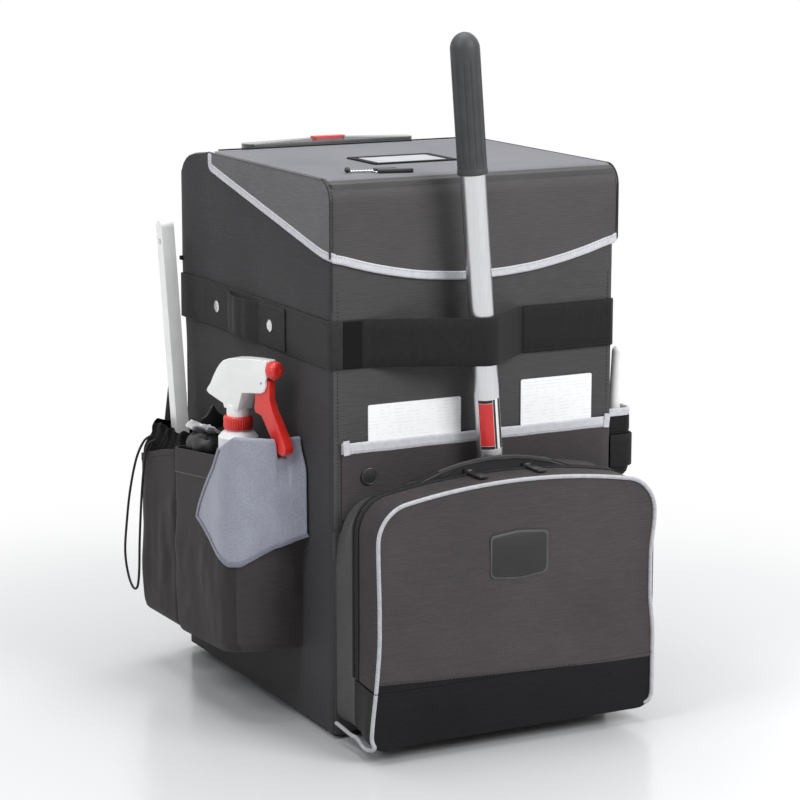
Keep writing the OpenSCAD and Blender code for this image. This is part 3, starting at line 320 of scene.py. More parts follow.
@dataclass(frozen=True)
class PrintedCard:
    """Uncoated card with faint level lines of print, which say nothing."""

    name: str
    line_gap: float = 3.8

    def material(self) -> bpy.types.Material:
        """Make the material."""
        made, tree = blank(self.name)
        where = add(tree, "TexCoord")
        axes = add(tree, "SeparateXYZ", {0: where.outputs["Object"]})
        rows = add(tree, "Math", {0: axes.outputs[2], 1: self.line_gap * MM}, operation="MODULO")
        ink = add(tree, "Math", {0: rows.outputs[0], 1: self.line_gap * MM * 0.3}, operation="LESS_THAN")
        words = add(tree, "TexNoise", {"Vector": spread(tree, (190, 190, 150)), "Scale": 1.0, "Detail": 1.0})
        marked = add(tree, "Math", {0: words.outputs["Fac"], 1: 0.5}, operation="GREATER_THAN")
        both = add(tree, "Math", {0: ink.outputs[0], 1: marked.outputs[0]}, operation="MULTIPLY")
        soft = add(tree, "Math", {0: both.outputs[0], 1: 0.5}, operation="MULTIPLY")
        close(tree, {"Base Color": shades(tree, soft.outputs[0], "#fafafb", "#e2e3e6", 0.0, 1.0), "Roughness": 0.75})
        return made


class Look(Enum):
    """The finishes by their place on the bag."""

    # Coated cloth: dull, one cloth in several copies. The darker copies for the sides of the box and of the pouches are
    # painted shade, the lighter copies for the lid's skirts and top painted sheen and painted light; the others differ
    # a little in shade from panel to panel.
    WALL = WovenPolyester("coated_polyester_front", "#4c4b4c", "#424142")
    # Darker copy for the box's left and right faces: painted shade.
    SIDE = WovenPolyester("coated_polyester_side_painted_shade", "#383739", "#2f2e30")
    FRONT = WovenPolyester("coated_polyester_pocket_front", "#484344", "#3d393a")
    LID = WovenPolyester("coated_polyester_lid_front", "#504e4f", "#464445")
    # Lighter copy for the lid's skirts and for the cord over their rolled top edge: painted sheen.
    LID_SIDE = WovenPolyester("coated_polyester_lid_side_painted_sheen", "#6a696c", "#5c5b5e")
    # Lighter, bluish copy for the lid's flat top: painted light and painted reflection.
    TOP = WovenPolyester("coated_polyester_lid_top_painted_light", "#6f6f74", "#636468", run=(55.0, 620.0, 55.0))
    POCKET = WovenPolyester("coated_polyester_pocket", "#393435", "#2f2b2c")
    BLACK = WovenPolyester("coated_black_polyester", "#18181a", "#111113", rough=0.5, bump=0.3, gloss=0.14, sheen=0.02)
    POUCH = WovenPolyester("coated_polyester_pouch", "#413c3d", "#363233")
    # Darker copy for the pouches' faces that look sideways: painted shade.
    POUCH_SIDE = WovenPolyester("coated_polyester_pouch_side_painted_shade", "#312d2e", "#292526")
    COLLAR = WovenPolyester("thin_black_nylon", "#0e0e0f", "#070708", rough=0.6, bump=0.3, gloss=0.05, sheen=0.0)
    LINING = WovenPolyester("thin_lining", "#323234", "#28282a", rib=1.4)
    # Woven tapes: matt, with ribs that catch the light along their tops.
    BELT = WovenTape("grey_belt_webbing", "#333233", "#2a292a", axis="Y")
    WEBBING = WovenTape("nylon_webbing", "#232223", "#18181a", axis="X")
    HANDLE = WovenTape("padded_carry_webbing", "#2f2e2f", "#262526", axis="Z", rib=1.4)
    HOOK = WovenTape("hook_and_loop", "#08080a", "#040405", axis="Z", rib=1.2, sheen=0.0)
    BINDING = WovenTape("grey_binding_tape", "#d8d8dd", "#bebec4", axis="DIAGONAL", rib=1.2)
    PIPING = WovenTape("grey_piping", "#c0c0c4", "#a4a4a8", axis="DIAGONAL", rib=1.4)
    # Plastics, rubber and film: smooth, from the dull tyre to the glossy spray head.
    THREAD = Moulded("black_thread", "#1f1f20", "#161617", rough=0.8)
    PALE_THREAD = Moulded("grey_thread", "#8b8b8f", "#77777b", rough=0.7)
    PLASTIC = Moulded("black_abs", "#2b2b2d", "#222224", rough=0.42)
    GRIP = Moulded("grey_abs", "#3c3d40", "#333437", rough=0.25, coat=0.5)
    CARD_WHITE = Moulded("white_label_film", "#f2f2f2", "#e9e9ea", rough=0.35)
    RED = Moulded("red_abs", "#da2a2a", "#c62222", rough=0.32, coat=0.2)
    SPRAY_RED = Moulded("red_polypropylene", "#e8352c", "#d92a22", rough=0.3, coat=0.25)
    WHITE = Moulded("white_polypropylene", "#fafaf9", "#f3f3f2", rough=0.33, coat=0.2)
    BOTTLE = Moulded("milky_polyethylene", "#f0f1f3", "#e3e5e9", rough=0.38)
    RUBBER = Moulded("black_tpr", "#37383a", "#2d2e30", rough=0.55)
    TYRE = Moulded("tyre_rubber", "#2a2a2b", "#202021", rough=0.75, bump=0.2)
    BRISTLE = Moulded("bristle_block", "#2b2b2f", "#19191c", rough=0.8, grain=2.0, bump=0.8)
    FILM = Moulded("rolled_black_film", "#0c0c0e", "#060607", rough=0.5, coat=0.03)
    CLEAR_FILM = Moulded("silvery_film", "#dcdcde", "#85858a", rough=0.16, coat=0.5, metallic=0.35)
    BRASS = Moulded("brown_lock", "#8d6c49", "#6f5338", rough=0.35)
    PATCH = Moulded("dark_rubber_patch", "#19191b", "#131315", rough=0.5)
    PATCH_RIM = Moulded("raised_patch_rim", "#4a4a4c", "#3e3e40", rough=0.5)
    # Whitish grey on the clear pane: painted reflection.
    WINDOW = Moulded("clear_vinyl_painted_reflection", "#a4a5ab", "#90929a", rough=0.3, coat=0.15)
    # Metal, knit and card: a satin streak, a soft cloudy pile, and paper without shine.
    TUBE = DrawnMetal("anodised_tube", "#d6d7d9", "#cfd0d3", rough=0.32)
    STEEL = DrawnMetal("plated_steel", "#d8d9db", "#c6c7c9", rough=0.22, lines=(300.0, 300.0, 300.0))
    CLOTH = KnittedMicrofibre("grey_microfibre", "#9b9dab", "#888a98")
    CLOTH_EDGE = KnittedMicrofibre("overlocked_edge", "#80828f", "#6c6e7a")
    CARD = PrintedCard("printed_card")

    def material(self) -> bpy.types.Material:
        """The one material of this finish, made on first use."""
        return bpy.data.materials.get(self.value.name) or self.value.material()


# ---------------------------------------------------------------- modelling


@dataclass
class Shop:
    """The modelling tools, and where the bag's own frame lies in the scene."""

    shift: Vector
    nodes: dict[str, Piece]

    @classmethod
    def from_frame(cls, frame: dict) -> Shop:
        """Find the bag's frame from its two side walls."""
        low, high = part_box("side_walls")
        return cls(Vector(((low.x + high.x) / 2, (low.y + high.y) / 2, low.z)), frame["nodes"])

    def point(self, p: Point) -> Vector:
        """Millimetres in the bag's frame to metres in the scene."""
        return Vector((p[0] * MM, p[1] * MM, p[2] * MM)) + self.shift

    @staticmethod
    def clear() -> None:
        """Leave edit mode and deselect everything."""
        if bpy.context.object and bpy.context.object.mode != "OBJECT":
            bpy.ops.object.mode_set(mode="OBJECT")
        bpy.ops.object.select_all(action="DESELECT")

    def pick(self, piece: Piece) -> None:
        """Make one piece the selected and active one."""
        self.clear()
        piece.select_set(True)
        bpy.context.view_layer.objects.active = piece

    def apply(self, piece: Piece, kind: str, **settings: object) -> None:
        """Add a modifier with its settings and apply it."""
        self.pick(piece)
        modifier = piece.modifiers.new(kind.lower(), kind)
        for key, value in settings.items():
            setattr(modifier, key, value)
        bpy.ops.object.modifier_apply(modifier=modifier.name)

    def edit(self, piece: Piece) -> None:
        """Open a piece in edit mode with all of it selected."""
        self.pick(piece)
        bpy.ops.object.mode_set(mode="EDIT")
        bpy.ops.mesh.select_all(action="SELECT")

    def tidy(self, piece: Piece, fill: bool = False, outside: bool = True) -> None:
        """Merge doubled vertices, close open ends if asked, and turn the faces outwards."""
        self.edit(piece)
        bpy.ops.mesh.remove_doubles(threshold=MERGE)
        if fill:
            bpy.ops.mesh.fill_holes(sides=0)
            bpy.ops.mesh.select_all(action="SELECT")
        if outside:
            bpy.ops.mesh.normals_make_consistent(inside=False)
        bpy.ops.object.mode_set(mode="OBJECT")

    def round_edges(self, piece: Piece, radius: float, steps: int, angle: float) -> None:
        """Round the edges that are sharper than an angle in degrees."""
        if radius:
            self.apply(piece, "BEVEL", width=radius * MM, segments=steps, limit_method="ANGLE",
                       angle_limit=radians(angle), use_clamp_overlap=True)

    @staticmethod
    def named(name: str) -> Piece:
        """Name the primitive that was added last."""
        piece = bpy.context.object
        piece.name = piece.data.name = name
        return piece

    def grid(self, name: str, nu: int, nv: int, shape: Shape, fill: bool = False) -> Piece:
        """Shape a grid by a function of its two coordinates.

        Args:
            name: The piece's name.
            nu: Divisions along the first coordinate.
            nv: Divisions along the second.
            shape: Gives a point for two coordinates between 0 and 1.
            fill: Whether open ends are closed.

        Returns:
            The new object, at the scene's origin.
        """
        self.clear()
        bpy.ops.mesh.primitive_grid_add(x_subdivisions=nu, y_subdivisions=nv, size=2.0)
        piece = self.named(name)
        for vertex in piece.data.vertices:
            vertex.co = self.point(shape((vertex.co.x + 1) / 2, (vertex.co.y + 1) / 2))
        self.tidy(piece, fill=fill, outside=fill)
        return piece

    def sheet(self, name: str, nu: int, nv: int, shape: Shape, thick: float, offset: float = 0.0) -> Piece:
        """Make a sheet of cloth of one thickness from a shaped grid.

        Args:
            name: The piece's name.
            nu: Divisions along the first coordinate.
            nv: Divisions along the second.
            shape: Gives a point for two coordinates between 0 and 1.
            thick: The cloth's thickness.
            offset: -1 thickens it behind the grid's faces, 1 in front of them.

        Returns:
            The new object.
        """
        piece = self.grid(name, nu, nv, shape)
        self.apply(piece, "SOLIDIFY", thickness=thick * MM, offset=offset, use_even_offset=True)
        self.tidy(piece)
        return piece

    def softened(self, piece: Piece) -> Piece:
        """Smooth a crumpled sheet with one level of subdivision."""
        self.apply(piece, "SUBSURF", levels=1, render_levels=1)
        return piece

    def ribbon(self, name: str, path: Sequence[Point], faces: Sequence[Point], width: float, thick: float,
               round_off: float = 0.35) -> Piece:
        """Sweep a flat band along a path.

        Args:
            name: The piece's name.
            path: Points of its middle line.
            faces: At each point, the direction that its face looks in.
            width: The band's width.
            thick: Its thickness.
            round_off: How much of the thickness its edges are rounded by.

        Returns:
            The new closed object.
        """
        w, t = width / 2, thick / 2
        c = t * 2 * round_off
        section = [(-w, -t + c), (-w + c, -t), (-w / 2, -t), (0, -t), (w / 2, -t), (w - c, -t), (w, -t + c), (w, t - c),
                   (w - c, t), (w / 2, t), (0, t), (-w / 2, t), (-w + c, t), (-w, t - c)]
        return self.sweep(name, path, section, faces)

    def sweep(self, name: str, path: Sequence[Point], section: Section, faces: Sequence[Point] | None,
              closed: bool = False) -> Piece:
        """Sweep a closed section along a path.

        Args:
            name: The piece's name.
            path: Points of its middle line.
            section: Points across: the first value sideways, the second along the face's direction. A function
                gives them for each step of the path.
            faces: The face's direction at each point, or None to carry it along without twist.
            closed: Whether the path joins its own start.

        Returns:
            The new closed object.
        """
        points = [Vector(p) for p in path]
        count = len(points)
        steps = []
        for i in range(count):
            before = points[(i - 1) % count] if closed else points[max(i - 1, 0)]
            after = points[(i + 1) % count] if closed else points[min(i + 1, count - 1)]
            steps.append((after - before).normalized())
        up = Vector(faces[0]) if faces else steps[0].orthogonal()
        frames = []
        for i, step in enumerate(steps):
            up = Vector(faces[i]) if faces else up
            up = (up - step * up.dot(step)).normalized()
            frames.append((step.cross(up), up))
        last = count if closed else count - 1
        across = [section(i) if callable(section) else section for i in range(count)]
        sides = len(across[0])

        def shape(u: float, v: float) -> Point:
            i = round(u * last) % count
            a, b = across[i][round(v * sides) % sides]
            return points[i] + frames[i][0] * a + frames[i][1] * b

        return self.grid(name, last, sides, shape, fill=not closed)

    def cord(self, name: str, path: Sequence[Point], radius: float, sides: int = 10, closed: bool = False) -> Piece:
        """Sweep a round cord along a path."""
        ring = [(radius * cos(TAU * k / sides), radius * sin(TAU * k / sides)) for k in range(sides)]
        return self.sweep(name, path, ring, None, closed)

    def slab(self, name: str, outline: Sequence[Point], push: Point, bevel: float = 0.0, steps: int = 3,
             angle: float = 30.0) -> Piece:
        """Fill an outline, extrude it and round its edges.

        Args:
            name: The piece's name.
            outline: Points round it, in order.
            push: The extrusion's direction and length.
            bevel: Radius of the rounded edges.
            steps: Faces across each rounding.
            angle: Edges sharper than this many degrees are rounded.

        Returns:
            The new closed object.
        """
        self.clear()
        bpy.ops.mesh.primitive_circle_add(vertices=len(outline), radius=1.0)
        piece = self.named(name)
        for vertex, place in zip(piece.data.vertices, outline):
            vertex.co = self.point(place)
        self.edit(piece)
        bpy.ops.mesh.edge_face_add()
        bpy.ops.mesh.extrude_region_move(TRANSFORM_OT_translate={"value": [v * MM for v in push]})
        bpy.ops.object.mode_set(mode="OBJECT")
        self.tidy(piece)
        self.round_edges(piece, bevel, steps, angle)
        return piece

    def refined(self, node: str, name: str, bevel: float, steps: int = 3, angle: float = 35.0) -> Piece:
        """Copy a rigid solid and round its edges."""
        piece = self.nodes[node].copy()
        piece.data = piece.data.copy()
        piece.parent = None
        for key in [k for k in piece.keys() if k.startswith("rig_")]:
            del piece[key]
        piece.name = piece.data.name = name
        piece.hide_render = piece.hide_viewport = False
        bpy.context.scene.collection.objects.link(piece)
        piece.data.materials.clear()
        self.edit(piece)
        bpy.ops.mesh.remove_doubles(threshold=2 * MERGE)
        bpy.ops.mesh.dissolve_limited(angle_limit=radians(1.5))
        bpy.ops.mesh.normals_make_consistent(inside=False)
        bpy.ops.object.mode_set(mode="OBJECT")
        self.round_edges(piece, bevel, steps, angle)
        return piece

    def warp(self, piece: Piece, move: Callable[[Vector], Vector]) -> Piece:
        """Move a piece's vertices by a function of their places in the bag's frame."""
        for vertex in piece.data.vertices:
            vertex.co = self.point(move((vertex.co - self.shift) / MM))
        return piece

    def ball(self, name: str, place: Point, radius: float) -> Piece:
        """Make a small sphere."""
        self.clear()
        bpy.ops.mesh.primitive_uv_sphere_add(segments=20, ring_count=12, radius=radius * MM)
        piece = self.named(name)
        for vertex in piece.data.vertices:
            vertex.co += self.point(place)
        return piece

    def joined(self, name: str, pieces: Iterable[Piece]) -> Piece:
        """Join pieces into one."""
        pieces = list(pieces)
        self.pick(pieces[0])
        for piece in pieces[1:]:
            piece.select_set(True)
        if len(pieces) > 1:
            bpy.ops.object.join()
        pieces[0].name = pieces[0].data.name = name
        return pieces[0]

    def stitches(self, name: str, path: Sequence[Point], faces: Sequence[Point], pitch: float,
                 long: float = 2.7, wide: float = 0.8, high: float = 0.35) -> Piece:
        """Lay a row of stitches on a path.

        Args:
            name: The piece's name.
            path: Points of the seam.
            faces: The surface's outward direction at each point.
            pitch: Distance from one stitch to the next.
            long: A stitch's length.
            wide: Its width.
            high: How far it stands up.

        Returns:
            One object that holds every stitch.
        """
        points = [Vector(p) for p in path]
        verts: list[Vector] = []
        polys: list[tuple[int, ...]] = []
        carried = 0.0
        for i, (a, b) in enumerate(zip(points, points[1:])):
            length = (b - a).length
            if length < 1e-6:
                continue
            along = (b - a) / length
            while carried < length:
                centre = a + along * carried
                up = Vector(faces[i]).lerp(Vector(faces[i + 1]), carried / length)
                up = (up - along * up.dot(along)).normalized()
                side = along.cross(up)
                base = len(verts)
                for s in (-1, 1):
                    verts.append(centre + along * (s * long / 2) - up * high * 0.4)
                    verts.append(centre + along * (s * long / 4) + side * (wide / 2) + up * high * 0.3)
                    verts.append(centre + along * (s * long / 4) + up * high)
                    verts.append(centre + along * (s * long / 4) - side * (wide / 2) + up * high * 0.3)
                q = [base + k for k in range(8)]
                polys += [(q[0], q[2], q[1]), (q[0], q[3], q[2]), (q[4], q[5], q[6]), (q[4], q[6], q[7]),
                          (q[1], q[2], q[6], q[5]), (q[2], q[3], q[7], q[6]), (q[0], q[1], q[5], q[4]),
                          (q[3], q[0], q[4], q[7])]
                carried += pitch
            carried -= length
        mesh = bpy.data.meshes.new(name)
        mesh.from_pydata([self.point(v) for v in verts], [], polys)
        piece = bpy.data.objects.new(name, mesh)
        bpy.context.scene.collection.objects.link(piece)
        self.tidy(piece)
        return piece

    def rows(self, path: Sequence[Point], faces: Sequence[Point], out: float, heights: Iterable[float],
             pitch: float = 4.0) -> list[Piece]:
        """Stitch along a band, out from its middle line and at some heights above or below it."""
        return [self.stitches("seam", [Vector(p) + Vector(n) * out + Vector((0, 0, z)) for p, n in zip(path, faces)],
                              faces, pitch) for z in heights]

    def dress(self, piece: Piece, look: Look, angle: float = 40.0) -> Piece:
        """Give a piece its finish and smooth its shading."""
        piece.data.materials.clear()
        piece.data.materials.append(look.material())
        self.pick(piece)
        bpy.ops.object.shade_smooth_by_angle(angle=radians(angle))
        return piece

    def fit(self, piece: Piece, body: str, slot: str, *nodes: str) -> Piece:
        """Let a piece ride on its body and stand for the nodes that it replaces."""
        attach(piece, body)
        if nodes:
            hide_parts(*nodes)
        LOG.info("%s: %d faces, on %s", piece.name, len(piece.data.polygons), body)
        return piece

    def finish(self, piece: Piece, look: Look, angle: float, body: str, slot: str, *nodes: str) -> Piece:
        """Dress a piece, with its shading smoothed up to an angle, and fit it to its body."""
        return self.fit(self.dress(piece, look, angle), body, slot, *nodes)

    def keep(self, look: Look, *nodes: str) -> None:
        """Give solids that stay their finish."""
        for node in nodes:
            self.dress(self.nodes[node], look, 35)


# ---------------------------------------------------------------- outlines

Step = tuple[float, float, float, float, float]


def walk(corners: Sequence[Triple], closed: bool, gap: float, arc: int) -> list[Step]:
    """Walk round a plan outline, with what is outside to the right.

    Args:
        corners: X, Y and rounding of each corner, anticlockwise seen from above.
        closed: Whether the last corner joins the first.
        gap: Longest straight step.
        arc: Steps round a corner.

    Returns:
        X, Y, outward direction and distance walked, for each step. A closed walk ends where it starts.
    """
    count = len(corners)
    places: list[Vector] = []
    for i, (x, y, radius) in enumerate(corners):
        here = Vector((x, y))
        if not radius or (not closed and i in (0, count - 1)):
            places.append(here)
            continue
        back = (Vector(corners[i - 1][:2]) - here).normalized()
        ahead = (Vector(corners[(i + 1) % count][:2]) - here).normalized()
        half = back.angle(ahead) / 2
        centre = here + (back + ahead).normalized() * (radius / sin(half))
        first = here + back * (radius / tan(half)) - centre
        last = here + ahead * (radius / tan(half)) - centre
        start = atan2(first.y, first.x)
        turn = (atan2(last.y, last.x) - start + pi) % TAU - pi
        places += [centre + radius * Vector((cos(start + turn * k / arc), sin(start + turn * k / arc)))
                   for k in range(arc + 1)]
    if closed:
        places.append(places[0].copy())
    dense = [places[0]]
    for a, b in zip(places, places[1:]):
        parts = max(1, ceil((b - a).length / gap))
        dense += [a.lerp(b, k / parts) for k in range(1, parts + 1)]
    steps: list[Step] = []
    gone = 0.0
    for i, here in enumerate(dense):
        before = dense[i - 1] if i else (dense[-2] if closed else here)
        after = dense[i + 1] if i + 1 < len(dense) else (dense[1] if closed else here)
        run = (after - before).normalized()
        gone += (here - dense[i - 1]).length if i else 0.0
        steps.append((here.x, here.y, run.y, -run.x, gone))
    return steps


def heading(path: Sequence[Vector], i: int) -> Vector:
    """Direction of an open path at one of its points."""
    return (path[min(i + 1, len(path) - 1)] - path[max(i - 1, 0)]).normalized()


def even(points: Sequence[Point], gap: float) -> list[Vector]:
    """Space points evenly along a path."""
    path = [Vector(p) for p in points]
    runs = [(b - a).length for a, b in zip(path, path[1:])]
    total = sum(runs)
    parts = max(2, round(total / gap))
    spaced, i, before = [], 0, 0.0
    for k in range(parts + 1):
        target = total * k / parts
        while i < len(runs) - 1 and before + runs[i] < target:
            before += runs[i]
            i += 1
        spaced.append(path[i].lerp(path[i + 1], clamp((target - before) / runs[i]) if runs[i] else 0.0))
    return spaced


def catmull(points: Sequence[Point], parts: int) -> list[Vector]:
    """Run a smooth line through points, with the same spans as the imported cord."""
    p = [Vector(q) for q in points]
    line = []
    for i in range(len(p) - 1):
        a, b, c, d = p[max(i - 1, 0)], p[i], p[i + 1], p[min(i + 2, len(p) - 1)]
        for k in range(parts):
            t = k / parts
            line.append(0.5 * (2 * b + (c - a) * t + (2 * a - 5 * b + 4 * c - d) * t * t
                               + (3 * b - 3 * c + d - a) * t ** 3))
    return line + [p[-1]]


# ---------------------------------------------------------------- sub-assemblies


@dataclass
class Studio:
    """Camera, lights, pale floor and backdrop."""

    lens: float = 122.25
    place: Triple = (-1.4184, -2.79106, 0.9732)
    tilt: float = 78.7
    turn: float = -27.07
    lamps: tuple[tuple[Triple, Triple, float, float], ...] = (
        ((1.2, -2.8, 2.2), (0, -0.1, 0.3), 1.6, 80), ((-1.9, -0.4, 2.3), (-0.1, 0, 0.5), 1.2, 27),
        ((0.1, 0.3, 2.9), (0, 0, 0.5), 1.9, 52), ((2.2, 1.4, 1.6), (0, 0, 0.4), 1.2, 12))

    def camera(self) -> None:
        """Set the camera where the object was seen from."""
        bpy.ops.object.camera_add(location=self.place, rotation=(radians(self.tilt), 0, radians(self.turn)))
        camera = bpy.context.object
        camera.data.lens, camera.data.sensor_width, camera.data.clip_end = self.lens, 36, 30
        bpy.context.scene.camera = camera
        bpy.context.scene.view_settings.view_transform = "Standard"

    @staticmethod
    def lamp(place: Point, aim: Point, size: float, watts: float) -> None:
        """Hang one soft box."""
        bpy.ops.object.light_add(type="AREA", location=place)
        lamp = bpy.context.object
        lamp.rotation_euler = (Vector(aim) - Vector(place)).to_track_quat("-Z", "Y").to_euler()
        lamp.data.size, lamp.data.energy = size, watts

    @staticmethod
    def watched(tree: Tree) -> Socket:
        """1 where something is seen directly, in a mirror or through glass, else 0."""
        path = add(tree, "LightPath")
        first = add(tree, "Math", {0: path.outputs["Is Camera Ray"], 1: path.outputs["Is Glossy Ray"]},
                    operation="MAXIMUM")
        both = add(tree, "Math", {0: first.outputs[0], 1: path.outputs["Is Transmission Ray"]}, operation="MAXIMUM")
        return both.outputs[0]

    def backdrop(self) -> None:
        """Light the scene from all round, and show white behind it."""
        world = bpy.data.worlds.new("studio")
        bpy.context.scene.world = world
        world.use_nodes = True
        tree = world.node_tree
        tree.nodes.clear()
        glow = add(tree, "Background", {"Color": linear("#eceef1"), "Strength": 0.44})
        white = add(tree, "Background", {"Color": linear("#ffffff"), "Strength": 1.0})
        both = add(tree, "MixShader", {0: self.watched(tree), 1: glow.outputs[0], 2: white.outputs[0]})
        add(tree, "OutputWorld", {"Surface": both.outputs[0]})

    def floor(self) -> None:
        """Lay a pale glossy floor that fades to white away from the object."""
        bpy.ops.mesh.primitive_circle_add(vertices=96, radius=9.0, fill_type="NGON")
        floor = bpy.context.object
        floor.name = "floor"
        made, tree = blank("pale_acrylic_floor")
        surface = add(tree, "BsdfPrincipled", {"Base Color": linear("#d0d1d2"), "Roughness": 0.22,
                                               "Specular IOR Level": 0.35})
        white = add(tree, "Emission", {"Color": linear("#ffffff"), "Strength": 1.0})
        where = add(tree, "TexCoord")
        far = add(tree, "VectorMath", {0: where.outputs["Object"]}, operation="LENGTH")
        fade = add(tree, "MapRange", {"Value": far.outputs["Value"], "From Min": 0.38, "From Max": 1.15},
                   interpolation_type="SMOOTHERSTEP")
        seen = add(tree, "Math", {0: fade.outputs[0], 1: self.watched(tree)}, operation="MULTIPLY")
        both = add(tree, "MixShader", {0: seen.outputs[0], 1: surface.outputs[0], 2: white.outputs[0]})
        add(tree, "OutputMaterial", {"Surface": both.outputs[0]})
        floor.data.materials.append(made)

    def build(self) -> None:
        """Set up everything that isn't the object."""
        self.camera()
        self.backdrop()
        for place, aim, size, watts in self.lamps:
            self.lamp(place, aim, size, watts)
        self.floor()


@dataclass
class Drawstring:
    """Cord loop that hangs out of the gathered collar and goes back into it."""

    points: tuple[Triple, ...] = (
        (-240.6, 168, 276), (-244, 169, 275.6), (-250, 175, 268), (-255, 187, 245), (-258, 201, 205),
        (-260, 209, 165), (-262, 212, 125), (-261, 206, 97), (-260, 193, 83), (-259, 181, 86), (-259, 174, 108),
        (-259, 170, 150), (-257, 166, 205), (-253.8, 163, 246), (-250, 160.5, 267.5), (-240.6, 158, 273))
    radius: float = 1.5

    def build(self, shop: Shop) -> None:
        """Make the cord and give it and the cord lock their finishes."""
        line = catmull(self.points, 5)
        fine = catmull(self.points, 12)
        piece = shop.cord("drawstring", fine, self.radius, 10)
        shop.finish(piece, Look.THREAD, 60, "cart", "cord", "drawstring_cord")
        shop.keep(Look.BRASS, "cord_lock")


@dataclass
class Shell:
    """Padded walls of the box, the shoulder behind the lid, and what stands inside."""

    half: float = 179.0
    front: float = -208.0
    rear: float = 208.0
    top: float = 619.0
    hinge: float = 121.0
    behind: Pair = (623.3, 618.0)
    shoulder: Triple = (163.0, 573.0, 45.0)
    edge: float = 5.0

    def height(self, y: float) -> float:
        """Height of the side walls' upper edge."""
        centre_y, centre_z, radius = self.shoulder
        if y <= self.hinge:
            return self.top
        if y <= centre_y:
            return self.behind[0] + (self.behind[1] - self.behind[0]) * (y - self.hinge) / (centre_y - self.hinge)
        return centre_z + sqrt(max(0.0, radius ** 2 - min(radius, y - centre_y) ** 2))

    def walls(self, shop: Shop) -> None:
        """Sew the four walls as one soft ring with a lining."""
        h, f, r, e = self.half, self.front, self.rear, self.edge
        steps = walk([(-h, r, e), (-h, f, e), (h, f, e), (h, r, e)], True, 8.0, 5)
        rows, inner = 40, 12
        lip = [(0.7, -0.5), (2.5, 0.0), (4.3, -0.5), (5.0, -2.0)]  # inset and height of the rolled upper edge
        total = rows + len(lip) + inner

        def shape(u: float, v: float) -> Point:
            x, y, nx, ny, _ = steps[round(u * (len(steps) - 1))]
            k = round(v * total)
            top = self.height(y)
            if k <= rows:
                z = k / rows * (top - 1.5)
                calm = hump(0, 60, 470, 520, z) * (1 - 0.8 * abs(nx * ny) * 2)
                push = calm * (0.9 * ripple((x, y, z), 95, 3.1) + 0.35 * ripple((x, y, z), 34, 1.7) - 0.2)
                push += 0.12 * ripple((x, y, z * 2), 16)
                full = 4.2 * smooth(130, 200, y) * abs(nx) * smooth(380, 470, z)  # the shoulder fills the rear out
                return x + nx * (push + full), y + ny * push, z
            if k <= rows + len(lip):
                inset, drop = lip[k - rows - 1]
                return x - nx * inset, y - ny * inset, top + drop
            return x - nx * 5, y - ny * 5, 4 + (1 - (k - rows - len(lip)) / inner) * (top - 8)

        piece = shop.grid("box_walls", len(steps) - 1, total, shape)
        shop.dress(piece, Look.WALL, 50)
        for look in (Look.LINING, Look.SIDE):
            piece.data.materials.append(look.material())
        low = shop.point((-h + 3.2, f + 3.2, 0))
        high = shop.point((h - 3.2, r - 3.2, 0))
        for polygon in piece.data.polygons:
            c = polygon.center
            if low.x < c.x < high.x and low.y < c.y < high.y:
                polygon.material_index = 1
            # Faces that look left or right take the darker copy of the cloth: painted shade.
            elif abs(polygon.normal.x) > 0.7:
                polygon.material_index = 2
        shop.fit(piece, "cart", "wall_fabric", "side_walls", "front_wall", "rear_wall")

    def seams(self, shop: Shop) -> None:
        """Run stitches down both sides of each upright edge."""
        rows = []
        for side in (-1, 1):
            for end, y in ((-1, self.front), (1, self.rear)):
                top = 500 if end < 0 else 560
                line = [(side * (self.half - 7), y + end * 0.1, z) for z in (12, top)]
                rows.append(shop.stitches("seam", line, [(0, end, 0)] * 2, 4.2))
                line = [(side * (self.half + 0.1), y - end * 7, z) for z in (12, top if end < 0 else 370)]
                rows.append(shop.stitches("seam", line, [(side, 0, 0)] * 2, 4.2))
        shop.finish(shop.joined("wall_seams", rows), Look.THREAD, 40, "cart", "wall_fabric")

    def inside(self, shop: Shop) -> None:
        """Cover the shoulder and the upright panel before the wheels."""
        cover = shop.refined("shoulder_cover", "shoulder_cloth", 0.8, 2)
        shop.finish(cover, Look.WALL, 35, "cart", "wall_fabric", "shoulder_cover")

        def panel(u: float, v: float) -> Point:
            x, z = -170.5 + 341 * u, 4.5 + 597 * v
            if z < 82 and abs(x) > 124:
                x = copysign(124, x)
            return x, 148.2 + 0.4 * ripple((x, 0, z), 70), z

        tape = shop.slab("hinge_tape", [(-167, 122, 623.4), (167, 122, 623.4), (167, 127.5, 623.2),
                                        (-167, 127.5, 623.2)], (0, 0, 1.6), 0.5, 2)
        shop.finish(tape, Look.BLACK, 40, "cart", "trim_tape")
        tab = shop.slab("rear_tab", [(-178.5, 199, 483), (-187, 200, 484), (-187, 200, 489), (-178.5, 199, 489)],
                        (0, 4.5, 0), 0.6, 2)
        shop.finish(tab, Look.WEBBING, 40, "cart", "webbing")

        shop.finish(shop.sheet("rear_lining", 40, 60, panel, 1.6, 1.0), Look.LINING, 40, "cart", "lining", "rear_liner")
        shop.keep(Look.PLASTIC, "mouth_frame", "base_tray", "wheel_housings")
        shop.keep(Look.RUBBER, "glide_feet")
        shop.keep(Look.STEEL, "wheel_axles", "handle_guides")
        shop.keep(Look.TYRE, "tyre_left", "tyre_right")
        shop.keep(Look.GRIP, "hub_left", "hub_right")

    def build(self, shop: Shop) -> None:
        """Build the box."""
        self.walls(shop)
        self.seams(shop)
        self.inside(shop)


